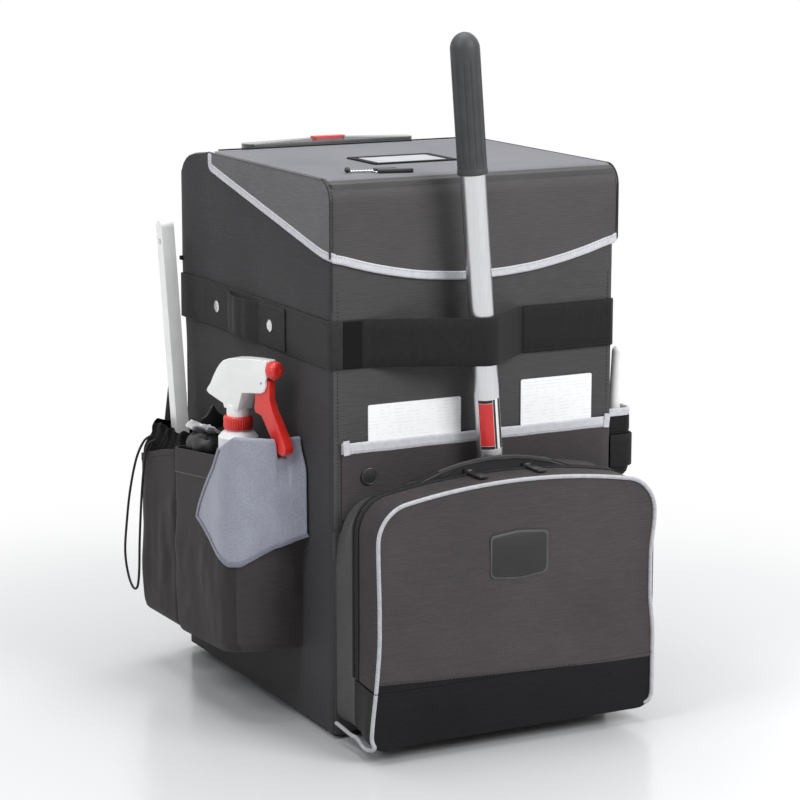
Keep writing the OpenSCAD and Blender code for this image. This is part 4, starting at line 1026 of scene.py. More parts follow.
@dataclass
class Lid:
    """Hinged lid: stiffened top, hanging skirts, grey binding, window pocket and keys."""

    out: float = 182.6
    front: float = -211.6
    rear: float = 120.7
    high: float = 623.3
    roll: float = 24.0
    corner: float = 6.0
    arc: float = 535.8
    middle: float = 504.3
    side: tuple[Pair, ...] = ((-211.6, 535.3), (-196.6, 535.3), (84.7, 594.3), (120.7, 602.3))

    def edge(self, x: float, y: float) -> float:
        """Height of the skirt's lower edge."""
        if y < self.front + 7 and abs(x) < self.out - 0.5:
            return self.middle + self.arc - sqrt(self.arc ** 2 - x * x)
        return lookup(self.side, y)

    def steps(self) -> list[Step]:
        """Walk round the skirt from the left rear to the right rear."""
        return walk([(-self.out, self.rear, 0), (-self.out, self.front, self.corner),
                     (self.out, self.front, self.corner), (self.out, self.rear, 0)], False, 6.0, 6)

    def lows(self, steps: Sequence[Step]) -> list[float]:
        """Height of the skirts' lower edge at each step, eased round the corners."""
        found = [self.edge(s[0], s[1]) for s in steps]
        for _ in range(9):
            found = [found[0], *((a + 2 * b + c) / 4 for a, b, c in zip(found, found[1:], found[2:])), found[-1]]
        return found

    def roof(self, y: float) -> float:
        """Height of the lid at a place, where its front edge rolls over."""
        back = clamp((self.roll - (y - self.front)) / self.roll)
        return self.high - self.roll + self.roll * sqrt(1 - back * back)

    def profile(self) -> list[tuple[float, float, float, float]]:
        """Walk over the lid from front to rear: Y, Z and the outward direction."""
        arc = [radians(6 * k) for k in range(16)]
        found = [(self.front + self.roll * (1 - cos(a)), self.high - self.roll * (1 - sin(a)),
                  -cos(a), sin(a)) for a in arc]
        start = self.front + self.roll
        return found + [(start + (self.rear - start) * k / 36, self.high, 0.0, 1.0) for k in range(1, 37)]

    def cover(self, shop: Shop) -> None:
        """Stretch the cloth over the stiffener, down the front and down both sides."""
        rows, over = 22, self.profile()
        half = self.out - 0.6
        columns = 96
        lows = [self.edge(half * (2 * i / columns - 1), self.front) + 2 for i in range(columns + 1)]

        def front(u: float, v: float) -> Point:
            i = round(u * columns)
            x = half * (2 * i / columns - 1)
            k = round(v * (rows + len(over) - 1))
            near = clamp((abs(x) - half + 3.5) / 3.5)
            tuck = 3.5 * (1 - sqrt(1 - near * near))
            if k < rows:
                z = lows[i] + (over[0][1] - lows[i]) * k / rows
                push = 0.5 * ripple((x, self.front, z), 60, 5.0) * smooth(0, 0.3, k / rows) * (1 - near)
                return x, self.front - push + tuck, z
            y, z, ny, nz = over[k - rows]
            flat = smooth(self.front + self.roll, self.front + self.roll + 20, y)
            beneath_window = abs(x + 16) < 60 and abs(y + 58) < 44
            beneath_keys = x < -60 and y < -130
            calm = 0.0 if beneath_window or beneath_keys else flat
            lift = 0.12 * calm * ripple((x, y, 0), 55, 2.2) * (1 - near) - tuck
            return x, y + ny * lift, z + nz * lift

        cloth = shop.sheet("lid_cloth", columns, rows + len(over) - 1, front, 2.4, -1.0)
        shop.dress(cloth, Look.LID, 50)
        # Faces on the flat top take the lighter copy of the cloth: painted light and painted reflection.
        cloth.data.materials.append(Look.TOP.material())
        bound = shop.point((0, 0, self.high - 3.6)).z
        for polygon in cloth.data.polygons:
            if polygon.center.z > bound and polygon.normal.z > 0.93:
                polygon.material_index = 1
        sides = []
        for side in (-1, 1):
            def panel(u: float, v: float, side: int = side) -> Point:
                y = self.rear + (self.front + 0.8 - self.rear) * u
                low, high = self.edge(side * self.out, y) + 2, self.roof(y) - 1.6
                z = low + (high - low) * v
                push = 0.5 * ripple((side * 60, y, z), 60, 5.0) * hump(0, 0.3, 0.7, 1, v)
                push += 0.1 * ripple((side, y, z * 2), 14) - 0.5 * smooth(0.9, 1, v)
                return side * (self.out + push), y, z

            sides.append(shop.sheet("lid_side", 100, 26, panel, 2.2, side))
        board = shop.slab("lid_board", [(-170, -198, 611.5), (170, -198, 611.5), (170, 112, 611.5),
                                        (-170, 112, 611.5)], (0, 0, 4.6), 1.2, 2)
        shop.fit(cloth, "lid", "wall_fabric", "lid_skirts", "lid_top")
        # The skirts take the lighter copy of the cloth: painted sheen.
        shop.finish(shop.joined("lid_sides", sides), Look.LID_SIDE, 50, "lid", "wall_fabric")
        shop.finish(board, Look.LINING, 40, "lid", "lining")

    def seams(self, shop: Shop) -> None:
        """Sew the sides to the front and the top, all along the edge."""
        cords, edges, threads = [], [], []
        for side in (-1, 1):
            lowest = ceil(self.edge(side * self.out, self.front)) + 3
            line = [Vector((side * (self.out - 0.7), self.front + 0.6, z))
                    for z in range(lowest, int(self.high - self.roll), 4)]
            faces = [Vector((side * 0.55, -0.83, 0))] * len(line)
            for y, z, ny, nz in self.profile():
                line.append(Vector((side * (self.out - 0.7), y - ny * 0.6, z - nz * 0.6)))
                faces.append(Vector((side * 0.55, ny * 0.83, nz * 0.83)))
            bend = sum(p.y < self.front + self.roll - 4 for p in line)
            cords.append(shop.cord("cord", line[:bend + 1], 0.95, 8))
            edges.append(shop.cord("cord", line[bend:], 0.95, 8))
            beside = [p + Vector((side * -3.4, n.y * 0.35, n.z * 0.35)) for p, n in zip(line, faces)]
            threads.append(shop.stitches("seam", beside[:32], faces[:32], 4.0))
        cord = shop.dress(shop.joined("corner_seams", cords), Look.THREAD, 60)
        thread = shop.dress(shop.joined("lid_seams", threads), Look.THREAD)
        # The cord over the skirts' rolled top edge takes the same lighter copy: painted sheen.
        edge = shop.dress(shop.joined("lid_edges", edges), Look.LID_SIDE, 60)
        for piece in (cord, edge, thread):
            shop.fit(piece, "lid", "wall_fabric")

    def binding(self, shop: Shop) -> None:
        """Bind the skirt's edge in one run of grey tape, up over the lid's edge at both rear corners."""
        steps = self.steps()
        lows = self.lows(steps)
        path, faces = [], []
        for (x, y, nx, ny, _), low in zip(steps, lows):
            if abs(x) > self.out - 1 and y > 104:
                continue
            path.append(Vector((x - nx * 1.25, y - ny * 1.25, low + 5 + 0.3 * ripple((x, y, 0), 30, 8))))
            faces.append(Vector((nx, ny, 0)))
        ends: dict[int, list[tuple[Vector, Vector]]] = {}
        for side in (-1, 1):
            run = [(109.6, 604.7), (112.5, 605.8), (114.4, 607.4), (115.3, 609.4), (115.5, 611.3)]
            found = [(Vector((side * (self.out - 1.25), y, z)), Vector((side, 0, 0))) for y, z in run]
            for a in (radians(k * 15) for k in range(1, 7)):
                face = Vector((side * cos(a), 0, sin(a)))
                skin = Vector((side * (self.out - 5 * (1 - cos(a))), 115.5, self.high - 5 * (1 - sin(a))))
                found.append((skin - face, face))
            ends[side] = found
        band = [*reversed(ends[-1]), *zip(path, faces), *ends[1]]
        path, faces = [p for p, _ in band], [n for _, n in band]
        piece = shop.ribbon("lid_tape", path, faces, 10.4, 4.2)
        seam = []
        for i, (here, face) in enumerate(zip(path, faces)):
            seam.append(here + face * 2.15 + face.cross(heading(path, i)) * 2.6)
        thread = shop.stitches("lid_tape_seam", seam, faces, 3.6, 2.2, 0.7, 0.25)
        shop.finish(piece, Look.BINDING, 50, "lid", "trim_tape", "lid_binding")
        shop.finish(thread, Look.PALE_THREAD, 40, "lid", "trim_tape")

    def window(self, shop: Shop) -> None:
        """Frame the clear pocket for a card."""
        frame = shop.refined("id_window", "window_frame", 0.35, 2)
        pane = shop.slab("window_pane", [(-61, -87, self.high + 0.7), (29, -87, self.high + 0.7),
                                         (29, -29, self.high + 0.7), (-61, -29, self.high + 0.7)], (0, 0, 0.4), 0.1, 1)
        shop.finish(frame, Look.HOOK, 40, "lid", "window_plastic", "id_window")
        # The pane's whitish grey is painted reflection.
        shop.finish(pane, Look.WINDOW, 40, "lid", "window_plastic")

    def keys(self, shop: Shop) -> None:
        """Lay the keys and their bead chain down."""
        z = self.high + 0.3
        beads = [shop.ball("bead", (-129 + 3.4 * i, -155 - 0.7 * i, z + 1.5), 1.5) for i in range(8)]
        beads.append(shop.cord("wire", [(-133, -154, z + 1.6), (-104, -161, z + 1.6)], 0.6, 8))
        ring = [(-99 + 6.5 * cos(TAU * k / 40), -164 + 6.5 * sin(TAU * k / 40), z + 0.9) for k in range(40)]
        beads.append(shop.cord("ring", ring, 0.8, 10, closed=True))
        heads = [shop.ball("stop", (-133, -154, z + 3.4), 3.4)]
        for x0, y0, turn, reach in ((-104, -160, -4, 27), (-104, -170, -12, 41)):
            c, s = cos(radians(turn)), sin(radians(turn))
            plan = walk([(0, -3.6, 2.4), (reach, -4.6, 3.5), (reach, 4.6, 3.5), (0, 3.6, 2.4)], True, 9.0, 5)[:-1]
            outline = [(x0 + p[0] * c - p[1] * s, y0 + p[0] * s + p[1] * c, z) for p in plan]
            heads.append(shop.slab("key", outline, (0, 0, 4.6), 1.2, 3))
        shop.finish(shop.joined("key_chain", beads), Look.STEEL, 50, "keys", "handle_metal", "key_set")
        shop.finish(shop.joined("key_heads", heads), Look.PLASTIC, 50, "keys", "black_plastic")

    def build(self, shop: Shop) -> None:
        """Build the lid."""
        self.cover(shop)
        self.seams(shop)
        self.binding(shop)
        self.window(shop)
        self.keys(shop)


@dataclass
class Webbing:
    """Belts on both sides, carry handles, and the strap that holds the pole."""

    middle: float = 441.5
    width: float = 54.0
    thick: float = 2.5
    bow: float = 104.01
    rise: float = 12.0
    handle_y: float = 21.5
    flat: float = -209.4
    strap_circle: Triple = (-10.3, -243.1, 17.4)

    def belts(self, shop: Shop) -> None:
        """Sew a belt on each side."""
        belts, threads = [], []
        for side in (-1, 1):
            plan = [(side * (180.2 + 4.2 * smooth(130, 200, y)), y, side, 0.0)
                    for y in (203.5 - 403 * k / 60 for k in range(61))]
            plan += [(side * (174 + 6.2 * cos(a)), -203 - 6.2 * sin(a), side * cos(a), -sin(a))
                     for a in (radians(k * 15) for k in range(1, 7))]
            plan += [(-x, -209.2, 0.0, -1.0) for x in (172, 169, 166)] if side < 0 else []
            path = [(x, y, self.middle + 0.5 * ripple((0, y, 0), 70, side)) for x, y, _, _ in plan]
            faces = [Vector((nx, ny, 0)) for _, _, nx, ny in plan]
            belts.append(shop.ribbon("belt", path, faces, self.width, 2.4))
            threads += shop.rows(path[1:-1], faces[1:-1], 1.2, (-23.5, 23.5), 4.2)
        shop.finish(shop.joined("side_belt_webbing", belts), Look.BELT, 50, "cart", "webbing", "side_belts")
        shop.finish(shop.joined("belt_seams", threads), Look.THREAD, 40, "cart", "webbing")

    def patch_seam(self, shop: Shop, side: int, y: float) -> list[Piece]:
        """Stitch a box with a cross on a handle's patch."""
        a, b, x = 30.0, 20.5, side * 183.55
        box = [(x, y - a, self.middle - b), (x, y + a, self.middle - b), (x, y + a, self.middle + b),
               (x, y - a, self.middle + b), (x, y - a, self.middle - b)]
        cross = [[box[0], box[2]], [box[1], box[3]]]
        return [shop.stitches("seam", line, [(side, 0, 0)] * len(line), 3.6) for line in [box, *cross]]

    def handles(self, shop: Shop) -> None:
        """Bow a padded strap between two stitched patches on each side."""
        parts, threads = [], []
        for side in (-1, 1):
            for end in (-1, 1):
                y = self.handle_y + end * 80
                ys = [y - 35.5 + 71 * k / 20 for k in range(21)]
                path = [(side * 182.5, q, self.middle) for q in ys]
                parts.append(shop.ribbon("patch", path, [(side, 0, 0)] * 21, 50, 2.0, 0.4))
                threads += self.patch_seam(shop, side, y)
            centre = 181.5 + self.rise - self.bow
            reach = acos((181.5 - centre) / (self.bow - 1.75))
            count = 41
            path, faces, widths = [], [], []
            for k in range(count):
                a = reach * (2 * k / (count - 1) - 1)
                r = self.bow - 1.9 + 0.8 * cos(11 * a / reach) * cos(a / reach * pi / 2)
                path.append((side * (centre + r * cos(a)), self.handle_y + r * sin(a),
                             self.middle + 1.2 * ripple((0, k, 0), 9, side)))
                faces.append((side * cos(a), sin(a), 0))
                widths.append(50 - 5 * cos(a / reach * pi / 2) ** 0.5)

            def section(i: int, widths: list[float] = widths) -> list[Pair]:
                w, t = widths[i] / 2, 1.7
                return [(-w, -t * 0.4), (-w * 0.96, -t), (-w * 0.5, -t), (0, -t), (w * 0.5, -t), (w * 0.96, -t),
                        (w, -t * 0.4), (w, t * 0.4), (w * 0.96, t), (w * 0.5, t * 1.05), (0, t * 1.1),
                        (-w * 0.5, t * 1.05), (-w * 0.96, t), (-w, t * 0.4)]

            parts.append(shop.sweep("strap", path, section, faces))
            threads += shop.rows(path, faces, 1.9, (-19, 19))
        shop.finish(shop.joined("carry_handle_cloth", parts), Look.HANDLE, 45, "cart", "wall_fabric", "carry_handles")
        shop.finish(shop.joined("handle_seams", threads), Look.THREAD, 40, "cart", "wall_fabric")
        shop.keep(Look.STEEL, "handle_rivets")

    def strap_path(self) -> list[Vector]:
        """Middle line of the strap: flat, out round the pole, and flat again."""
        cx, cy, cr = self.strap_circle
        radius = cr + self.thick / 2
        line = [(-166.0, self.flat), (-150.0, self.flat), (-136.0, -209.5)]
        for point, side in (((-129.0, -209.5), 1), ((55.0, -209.5), -1)):
            dx, dy = cx - point[0], cy - point[1]
            far = hypot(dx, dy)
            touch = atan2(dy, dx) - side * asin(radius / far) - side * pi / 2
            if side > 0:
                first = touch
                line += [point]
            else:
                turn = (touch - first) % TAU
                line += [(cx + radius * cos(first + turn * k / 14), cy + radius * sin(first + turn * k / 14))
                         for k in range(15)]
                line += [point, (62.0, -209.5), (75.0, self.flat), (174.5, self.flat)]
        path = [Vector((x, y, self.middle)) for x, y in line]
        for _ in range(2):
            cut = [path[0]]
            for a, b in zip(path, path[1:]):
                cut += [a.lerp(b, 0.25), a.lerp(b, 0.75)]
            path = cut + [path[-1]]
        return even(path, 3.2)

    def strap(self, shop: Shop) -> None:
        """Run the strap over the front and round the pole."""
        path = self.strap_path()
        runs = [heading(path, i) for i in range(len(path))]
        faces = [Vector((run.y, -run.x, 0)).normalized() for run in runs]
        for i, here in enumerate(path):
            here.z += 0.8 * ripple(here, 60, 4.0)
        web = shop.ribbon("web", path, faces, self.width, 2.3)
        doubled = [i for i, p in enumerate(path) if p.x > 57 and p.y > -213]
        second = shop.ribbon("web", [path[i] + faces[i] * 1.3 for i in doubled], [faces[i] for i in doubled],
                             self.width - 1, 1.4)
        piece = shop.joined("front_strap_webbing", [web, second])
        start = [i for i, p in enumerate(path) if p.x < -143]
        hook = shop.ribbon("hook_patch", [path[i] + faces[i] * 1.4 for i in start], [faces[i] for i in start],
                           self.width - 2, 1.4)
        threads = []
        for x in (58.5, 171):
            line = [(x, -211.7, z) for z in (self.middle - 25, self.middle + 25)]
            threads.append(shop.stitches("seam", line, [(0, -1, 0)] * 2, 3.6))
        threads += shop.rows([path[i] for i in doubled], [faces[i] for i in doubled], 2.05, (-24, 24))
        shop.finish(piece, Look.WEBBING, 50, "cart", "webbing", "front_strap")
        shop.finish(hook, Look.HOOK, 40, "cart", "webbing")
        shop.finish(shop.joined("strap_seams", threads), Look.THREAD, 40, "cart", "webbing")

    def build(self, shop: Shop) -> None:
        """Build the belts, handles and strap."""
        self.belts(shop)
        self.handles(shop)
        self.strap(shop)


@dataclass
class FrontPocket:
    """Zipped pocket on the front with the open sleeve and slip pocket behind it."""

    half: float = 175.0
    low: float = 11.0
    crown: Pair = (776.0, -481.0)
    hump: Pair = (255.0, 53.0)
    corner: Triple = (133.0, 240.9, 42.0)
    foot: Triple = (157.0, 29.0, 18.0)
    panel: float = -311.5
    split: float = -254.6
    fold: float = 75.0
    wall: float = -208.2
    shut: float = -212.6
    open: float = -252.2
    disc: Pair = (-136.0, 293.0)

    def top(self, x: float, sleeve: bool = False) -> float:
        """Height of the outline's upper side at x, on the zip pocket or on the sleeve."""
        x = min(abs(x), self.half)
        if x > self.corner[0]:
            return self.corner[1] + sqrt(self.corner[2] ** 2 - (x - self.corner[0]) ** 2)
        rise = self.crown[1] + sqrt(self.crown[0] ** 2 - x * x)
        return max(rise, self.hump[1] + sqrt(self.hump[0] ** 2 - x * x)) if sleeve else rise

    def bottom(self, x: float) -> float:
        """Height of the outline's lower side at x."""
        x = min(abs(x), self.half)
        if x <= self.foot[0]:
            return self.low
        return self.foot[1] - sqrt(max(0.0, self.foot[2] ** 2 - (x - self.foot[0]) ** 2))

    def outline(self, sleeve: bool, gap: float = 6.0) -> list[Vector]:
        """Walk from the middle of the underside to the right, over the top and back."""
        right = [Vector((x, self.low, 0)) for x in range(0, 157, 12)]
        right += [Vector((self.foot[0] + self.foot[2] * sin(a), self.foot[1] - self.foot[2] * cos(a), 0))
                  for a in (radians(k * 10) for k in range(10))]
        right += [Vector((self.half, z, 0)) for z in range(30, 240, 10)]
        right += [Vector((self.corner[0] + self.corner[2] * cos(a), self.corner[1] + self.corner[2] * sin(a),
                          0)) for a in (radians(k * 5) for k in range(17))]
        right += [Vector((x, self.top(x, sleeve), 0)) for x in range(128, -1, -4)]
        left = [Vector((-p.x, p.y, 0)) for p in reversed(right[:-1])]
        flat = even(right + left, gap)
        return [Vector((p.x, 0.0, p.y)) for p in flat]

    @staticmethod
    def outward(line: Sequence[Vector]) -> list[Vector]:
        """Outward directions along a closed outline."""
        count = len(line)
        found = []
        for i in range(count):
            run = line[(i + 1) % count if i + 1 < count else 1] - line[i - 1 if i else -2]
            found.append(Vector((run.z, 0, -run.x)).normalized())
        return found

    def puff(self, x: float, z: float) -> float:
        """How far the filled front panel stands forward at a place."""
        low, high = self.bottom(x), self.top(x)
        across = clamp(1 - abs(x) / self.half)
        up = clamp((z - low) / (high - low))
        return 5.2 * smooth(0, 0.42, across) * (smooth(0, 0.3, up) * smooth(0, 0.3, 1 - up)) ** 0.7

    def slip(self, shop: Shop) -> None:
        """Sew the flat pocket that holds the cards, with its grey trim and the bare disc on it."""
        def depth(x: float, z: float) -> float:
            ends = min(smooth(-168, -160, x), 1 - smooth(166, 174, x))
            return -209.0 - 1.6 * ends - 0.9 * ends * (1 + ripple((x, 0, z), 58, 6.0)) * smooth(250, 330, z)

        def face(u: float, v: float) -> Point:
            x, z = -168 + 342 * u, 245 + 76 * v
            return x, depth(x, z), z

        cloth = shop.sheet("slip_pocket_cloth", 90, 20, face, 1.2, 0.0)
        xs = [-168.4 + 342.8 * k / 100 for k in range(101)]
        path = [(x, depth(x, 326) - 0.4, 325.8 + 0.5 * ripple((x, 0, 0), 40)) for x in xs]
        faces = [(0, -1, 0)] * 101
        tape = [shop.ribbon("tape", path, faces, 12.4, 2.0)]
        for x, tilt in ((-164.5, 0.3), (171.0, -0.3)):
            line = [(x + tilt * k, -213.2 + 0.1 * k, 335 - 3.2 * k) for k in range(6)]
            tape.append(shop.ribbon("tape", line, [(0, -1, 0)] * 6, 8.0, 1.6))
        seam = [Vector(p) + Vector((0, -1.1, -3.4)) for p in path]
        thread = shop.stitches("slip_trim_seam", seam, faces, 3.6, 2.2, 0.7, 0.25)
        shop.clear()
        place = shop.point((self.disc[0], -213.4, self.disc[1]))
        bpy.ops.mesh.primitive_cylinder_add(vertices=64, radius=9.8 * MM, depth=1.6 * MM, location=place,
                                            rotation=(pi / 2, 0, 0))
        bpy.ops.object.transform_apply()
        disc = shop.named("bare_disc")
        shop.apply(disc, "BEVEL", width=0.4 * MM, segments=3, limit_method="ANGLE")
        place = shop.point((self.disc[0], -214.2, self.disc[1]))
        bpy.ops.mesh.primitive_torus_add(major_segments=64, minor_segments=10, major_radius=8.8 * MM,
                                         minor_radius=0.55 * MM, location=place, rotation=(pi / 2, 0, 0))
        bpy.ops.object.transform_apply()
        ring = shop.named("disc_rim")
        shop.finish(cloth, Look.FRONT, 40, "cart", "wall_fabric", "slip_pocket")
        shop.finish(shop.joined("slip_trim", tape), Look.BINDING, 50, "cart", "trim_tape", "pocket_trims")
        shop.finish(thread, Look.PALE_THREAD, 40, "cart", "trim_tape")
        shop.finish(disc, Look.PLASTIC, 40, "cart", "wall_fabric")
        shop.finish(ring, Look.GRIP, 40, "cart", "wall_fabric")
        shop.keep(Look.CARD, "card_left", "card_right")

    def sleeve(self, shop: Shop) -> None:
        """Sew the open sleeve behind the zip: a band round the outline and the wall before it."""
        line = self.outline(True)
        out = self.outward(line)
        rows = 14

        def band(u: float, v: float) -> Point:
            i = round(u * (len(line) - 1))
            p, n = line[i], out[i]
            rear = self.wall
            if p.z > 240:
                mouth = 1 - smooth(66, 88, abs(p.x))
                rear = self.shut + (self.open - self.shut) * mouth
            y = self.split + 0.2 + (rear - self.split - 0.2) * v
            calm = sin(pi * v) ** 0.6
            push = calm * (2.8 * ripple((p.x, y * 1.4, p.z), 38, 7.0) + 1.6 * ripple((p.x, y, p.z), 17, 1.0) - 2.0)
            push -= 2.0 * calm * hump(60, 130, 210, 250, p.z)
            # The upper left corner hangs down and inwards, more and more towards the wall.
            droop = 13 * smooth(-40, -95, p.x) * smooth(190, 262, p.z) * smooth(0.08, 0.9, v)
            tuck = 5 * smooth(-100, -160, p.x) * smooth(190, 262, p.z) * smooth(0.08, 0.9, v)
            return p.x + n.x * push + tuck, y, p.z + n.z * push - droop

        cloth = shop.sheet("sleeve_cloth", len(line) - 1, rows, band, 1.8, 1.0)

        def wall(u: float, v: float) -> Point:
            x = -174.4 + 348.8 * u
            low, high = self.bottom(x) + 1.0, self.top(x, True) - 0.6
            return x, -253.8 + 0.5 * ripple((x, 0, v * 260), 70), low + (high - low) * v

        back = shop.sheet("sleeve_front_wall", 70, 50, wall, 1.4, 0.0)
        rim = [Vector((p.x, -253.4, p.z + 0.7)) for p in line if p.z > 296 and abs(p.x) < 74]
        hem = shop.cord("mouth_hem", rim, 1.7, 10)
        tapes = []
        for side in (-1, 1):
            run = [i for i, p in enumerate(line) if p.x * side > 68 and p.z >= self.fold + 1]
            path = [Vector((line[i].x + out[i].x * 0.5, -252.0, line[i].z + out[i].z * 0.5)) for i in run]
            tapes.append(shop.ribbon("tape", path, [out[i] for i in run], 4.8, 1.4))
        shop.finish(shop.joined("rear_zip_tape", tapes), Look.WEBBING, 60, "cart", "dark_fabric")
        shop.finish(cloth, Look.WALL, 60, "cart", "wall_fabric", "pole_sleeve")
        shop.finish(back, Look.LINING, 60, "cart", "dark_fabric")
        shop.finish(hem, Look.WALL, 60, "cart", "wall_fabric")

    @staticmethod
    def seam_at(x: float) -> float:
        """Height of the slanted seam where the black cloth begins."""
        return 77 - 0.04 * x

    def front_face(self, shop: Shop, name: str, low: Callable[[float], float], high: Callable[[float], float],
                   ends: Pair = (-173.6, 173.6), lean: float = 0.0) -> Piece:
        """Cut the part of the puffed front panel between two lines."""
        def shape(u: float, v: float) -> Point:
            x = ends[0] + (ends[1] - ends[0]) * u
            start = max(self.bottom(x) + 1.2, low(x))
            z = start + (min(self.top(x) - 1.4, high(x)) - start) * v
            push = self.puff(x, z) + 0.5 * ripple((x, 0, z), 80, 3.3) * smooth(0, 30, 175 - abs(x))
            push += 0.25 * ripple((x, 0, z), 26, 9.1)
            return x, self.panel - lean - push, z

        rows = 70 if high(0) - low(0) > 90 else 20
        return shop.sheet(name, max(8, round((ends[1] - ends[0]) / 3.5)), rows, shape, 2.0, -1.0)

    def flap(self, shop: Shop) -> None:
        """Build the part that folds down: gusset, front panel, black strip, zip tape, piping and seam."""
        line = [p for p in self.outline(False, 4.0) if p.z >= self.fold]
        out = self.outward(line)
        out[0], out[-1] = Vector((1, 0, 0)), Vector((-1, 0, 0))

        def band(u: float, v: float) -> Point:
            i = round(u * (len(line) - 1))
            p, n = line[i], out[i]
            y = self.panel + 0.4 + 50.4 * v
            calm = sin(pi * v)
            sag = 1.1 * hump(80, 140, 220, 260, p.z)
            push = calm * (0.9 * ripple((p.x, y, p.z), 46, 2.0) - sag)
            push += 0.25 * ripple((p.x, y, p.z), 15) * calm
            return p.x + n.x * push - n.x * 0.3, y, p.z + n.z * push - n.z * 0.3

        gusset = shop.sheet("gusset_cloth", len(line) - 1, 16, band, 2.0, 1.0)
        shop.dress(gusset, Look.POCKET, 60)
        panel = self.front_face(shop, "flap_cloth", lambda x: max(self.fold + 0.2, self.seam_at(x)), lambda x: 999)
        shop.dress(panel, Look.FRONT, 60)
        strip = self.front_face(shop, "flap_black_strip", lambda x: self.fold + 0.2, self.seam_at, (-173.6, 44), 0.2)
        shop.dress(strip, Look.BLACK, 60)
        edge = [Vector((p.x + n.x * 0.2, -262.6, p.z + n.z * 0.2)) for p, n in zip(line, out)]
        tape = shop.dress(shop.ribbon("front_zip_tape", edge, out, 4.8, 1.4), Look.WEBBING, 60)
        wave = [self.pipe_at(p, n) for p, n in zip(line, out)]
        piping = shop.cord("flap_piping_cord", wave, 2.3, 12)
        shop.dress(piping, Look.PIPING, 60)
        seam_line = []
        for k in range(90):
            x = -168 + 336 * k / 89
            z = self.seam_at(x) + 2
            if z > self.fold + 1:
                seam_line.append((x, self.panel - self.puff(x, z) - 0.9, z))
        thread = shop.stitches("boot_seam", seam_line, [(0, -1, 0)] * len(seam_line), 4.2)
        shop.dress(thread, Look.THREAD)
        for piece in (gusset, panel, strip, tape, piping, thread):
            shop.warp(piece, self.slump)
        shop.fit(gusset, "flap", "wall_fabric", "flap_gusset")
        shop.fit(panel, "flap", "wall_fabric", "flap_panel")
        shop.fit(piping, "flap", "trim_tape", "flap_piping")
        for piece in (strip, tape, thread):
            shop.fit(piece, "flap", "dark_fabric")

    def pipe_at(self, p: Vector, n: Vector) -> Vector:
        """Middle of the piping beside a place on the outline, drawn in where the side sags."""
        sag = 4.5 * hump(95, 150, 190, 238, p.z) if p.x > 170 else 0.0
        sag += 1.6 * hump(95, 140, 160, 238, p.z) if p.x < -170 else 0.0
        return Vector((p.x - n.x * (0.2 + sag), self.panel - 0.7, p.z - n.z * 0.2))

    @staticmethod
    def slump(p: Vector) -> Vector:
        """Let the lower left corner sag outwards."""
        k = smooth(118, 10, p.z) * smooth(-110, -172, p.x) * smooth(-256, -300, p.y)
        return Vector((p.x - 9 * k, p.y, p.z - 3 * k))

    def patch(self, shop: Shop) -> None:
        """Weld the bare patch on the panel."""
        def shield(grow: float, y: float) -> list[Point]:
            steps = walk([(-40 + grow, 236 - grow, 5), (-40 + grow, 188 + grow, 7), (-3.5, 184 + grow, 90),
                          (33 - grow, 188 + grow, 7), (33 - grow, 236 - grow, 5), (-3.5, 240 - grow, 90)],
                         True, 12.0, 6)[:-1]
            return [(s[0], y, s[1]) for s in steps]

        front = self.panel - self.puff(0, 210)
        base = shop.slab("patch_base", shield(0, front + 0.6), (0, -1.9, 0), 0.5, 2)
        field_ = shop.slab("patch_field", shield(2.2, front - 1.0), (0, -0.7, 0), 0.25, 2)
        shop.finish(base, Look.PATCH_RIM, 40, "flap", "label_plastic", "label_patch")
        shop.finish(field_, Look.PATCH, 40, "flap", "label_plastic")

    def boot(self, shop: Shop) -> None:
        """Build the fixed lower part in black cloth, with the piping that runs on to it."""
        line = self.outline(False, 4.0)
        middle, edge = len(line) // 2, self.fold - 0.4
        low = [p for p in (*line[middle:], *line[1:middle]) if p.z < edge]
        low[0], low[-1] = Vector((-self.half, 0, edge)), Vector((self.half, 0, edge))
        out = self.outward(low)
        out[0], out[-1] = Vector((-1, 0, 0)), Vector((1, 0, 0))

        def band(u: float, v: float) -> Point:
            i = round(u * (len(low) - 1))
            p, n = low[i], out[i]
            y = self.split - 0.3 + (self.panel + 0.4 - self.split + 0.3) * v
            calm = sin(pi * v)
            push = calm * (0.9 * ripple((p.x, y, p.z), 40, 4.0) - 0.6)
            return p.x + n.x * (push - 0.3), y, p.z + n.z * (push - 0.3)

        side = shop.sheet("boot_sides", len(low) - 1, 14, band, 2.0, 0.0)
        front = self.front_face(shop, "boot_front", lambda x: 0, lambda x: min(self.fold - 0.2, self.seam_at(x)))
        strip = self.front_face(shop, "boot_upper_strip", self.seam_at, lambda x: self.fold - 0.2, (56, 173.6))
        shop.finish(strip, Look.FRONT, 60, "cart", "wall_fabric")
        cloth = shop.warp(shop.joined("boot_cloth", [side, front]), self.slump)
        pipes = []
        for turn in (-1, 1):
            run = sorted((p for p in low if p.x * turn > 140), key=lambda p: -p.z)
            bend = [self.pipe_at(p, Vector((turn, 0, 0)) if p.z > 29 else
                    (p - Vector((turn * 157, 0, 29))).normalized()) for p in run if p.z > 15 or abs(p.x) > 168]
            last = bend[-1]
            if turn < 0:
                bend += [Vector(p) for p in ((-170.5, -308, 13), (-173, -301, 11.5), (-174.5, -285, 11),
                                             (-178, -250, 10.5), (-178.5, -214, 14))]
            else:
                bend += [last + Vector((-3, 1.5, -1.2)), last + Vector((-7, 5, -1.8)), last + Vector((-9, 14, -1.6))]
            pipes.append(shop.cord("pipe", even(bend, 2.5), 2.3, 12))
        piping = shop.warp(shop.joined("boot_piping", pipes), self.slump)
        shop.finish(cloth, Look.BLACK, 60, "cart", "dark_fabric", "pocket_boot")
        shop.finish(piping, Look.PIPING, 60, "cart", "trim_tape")

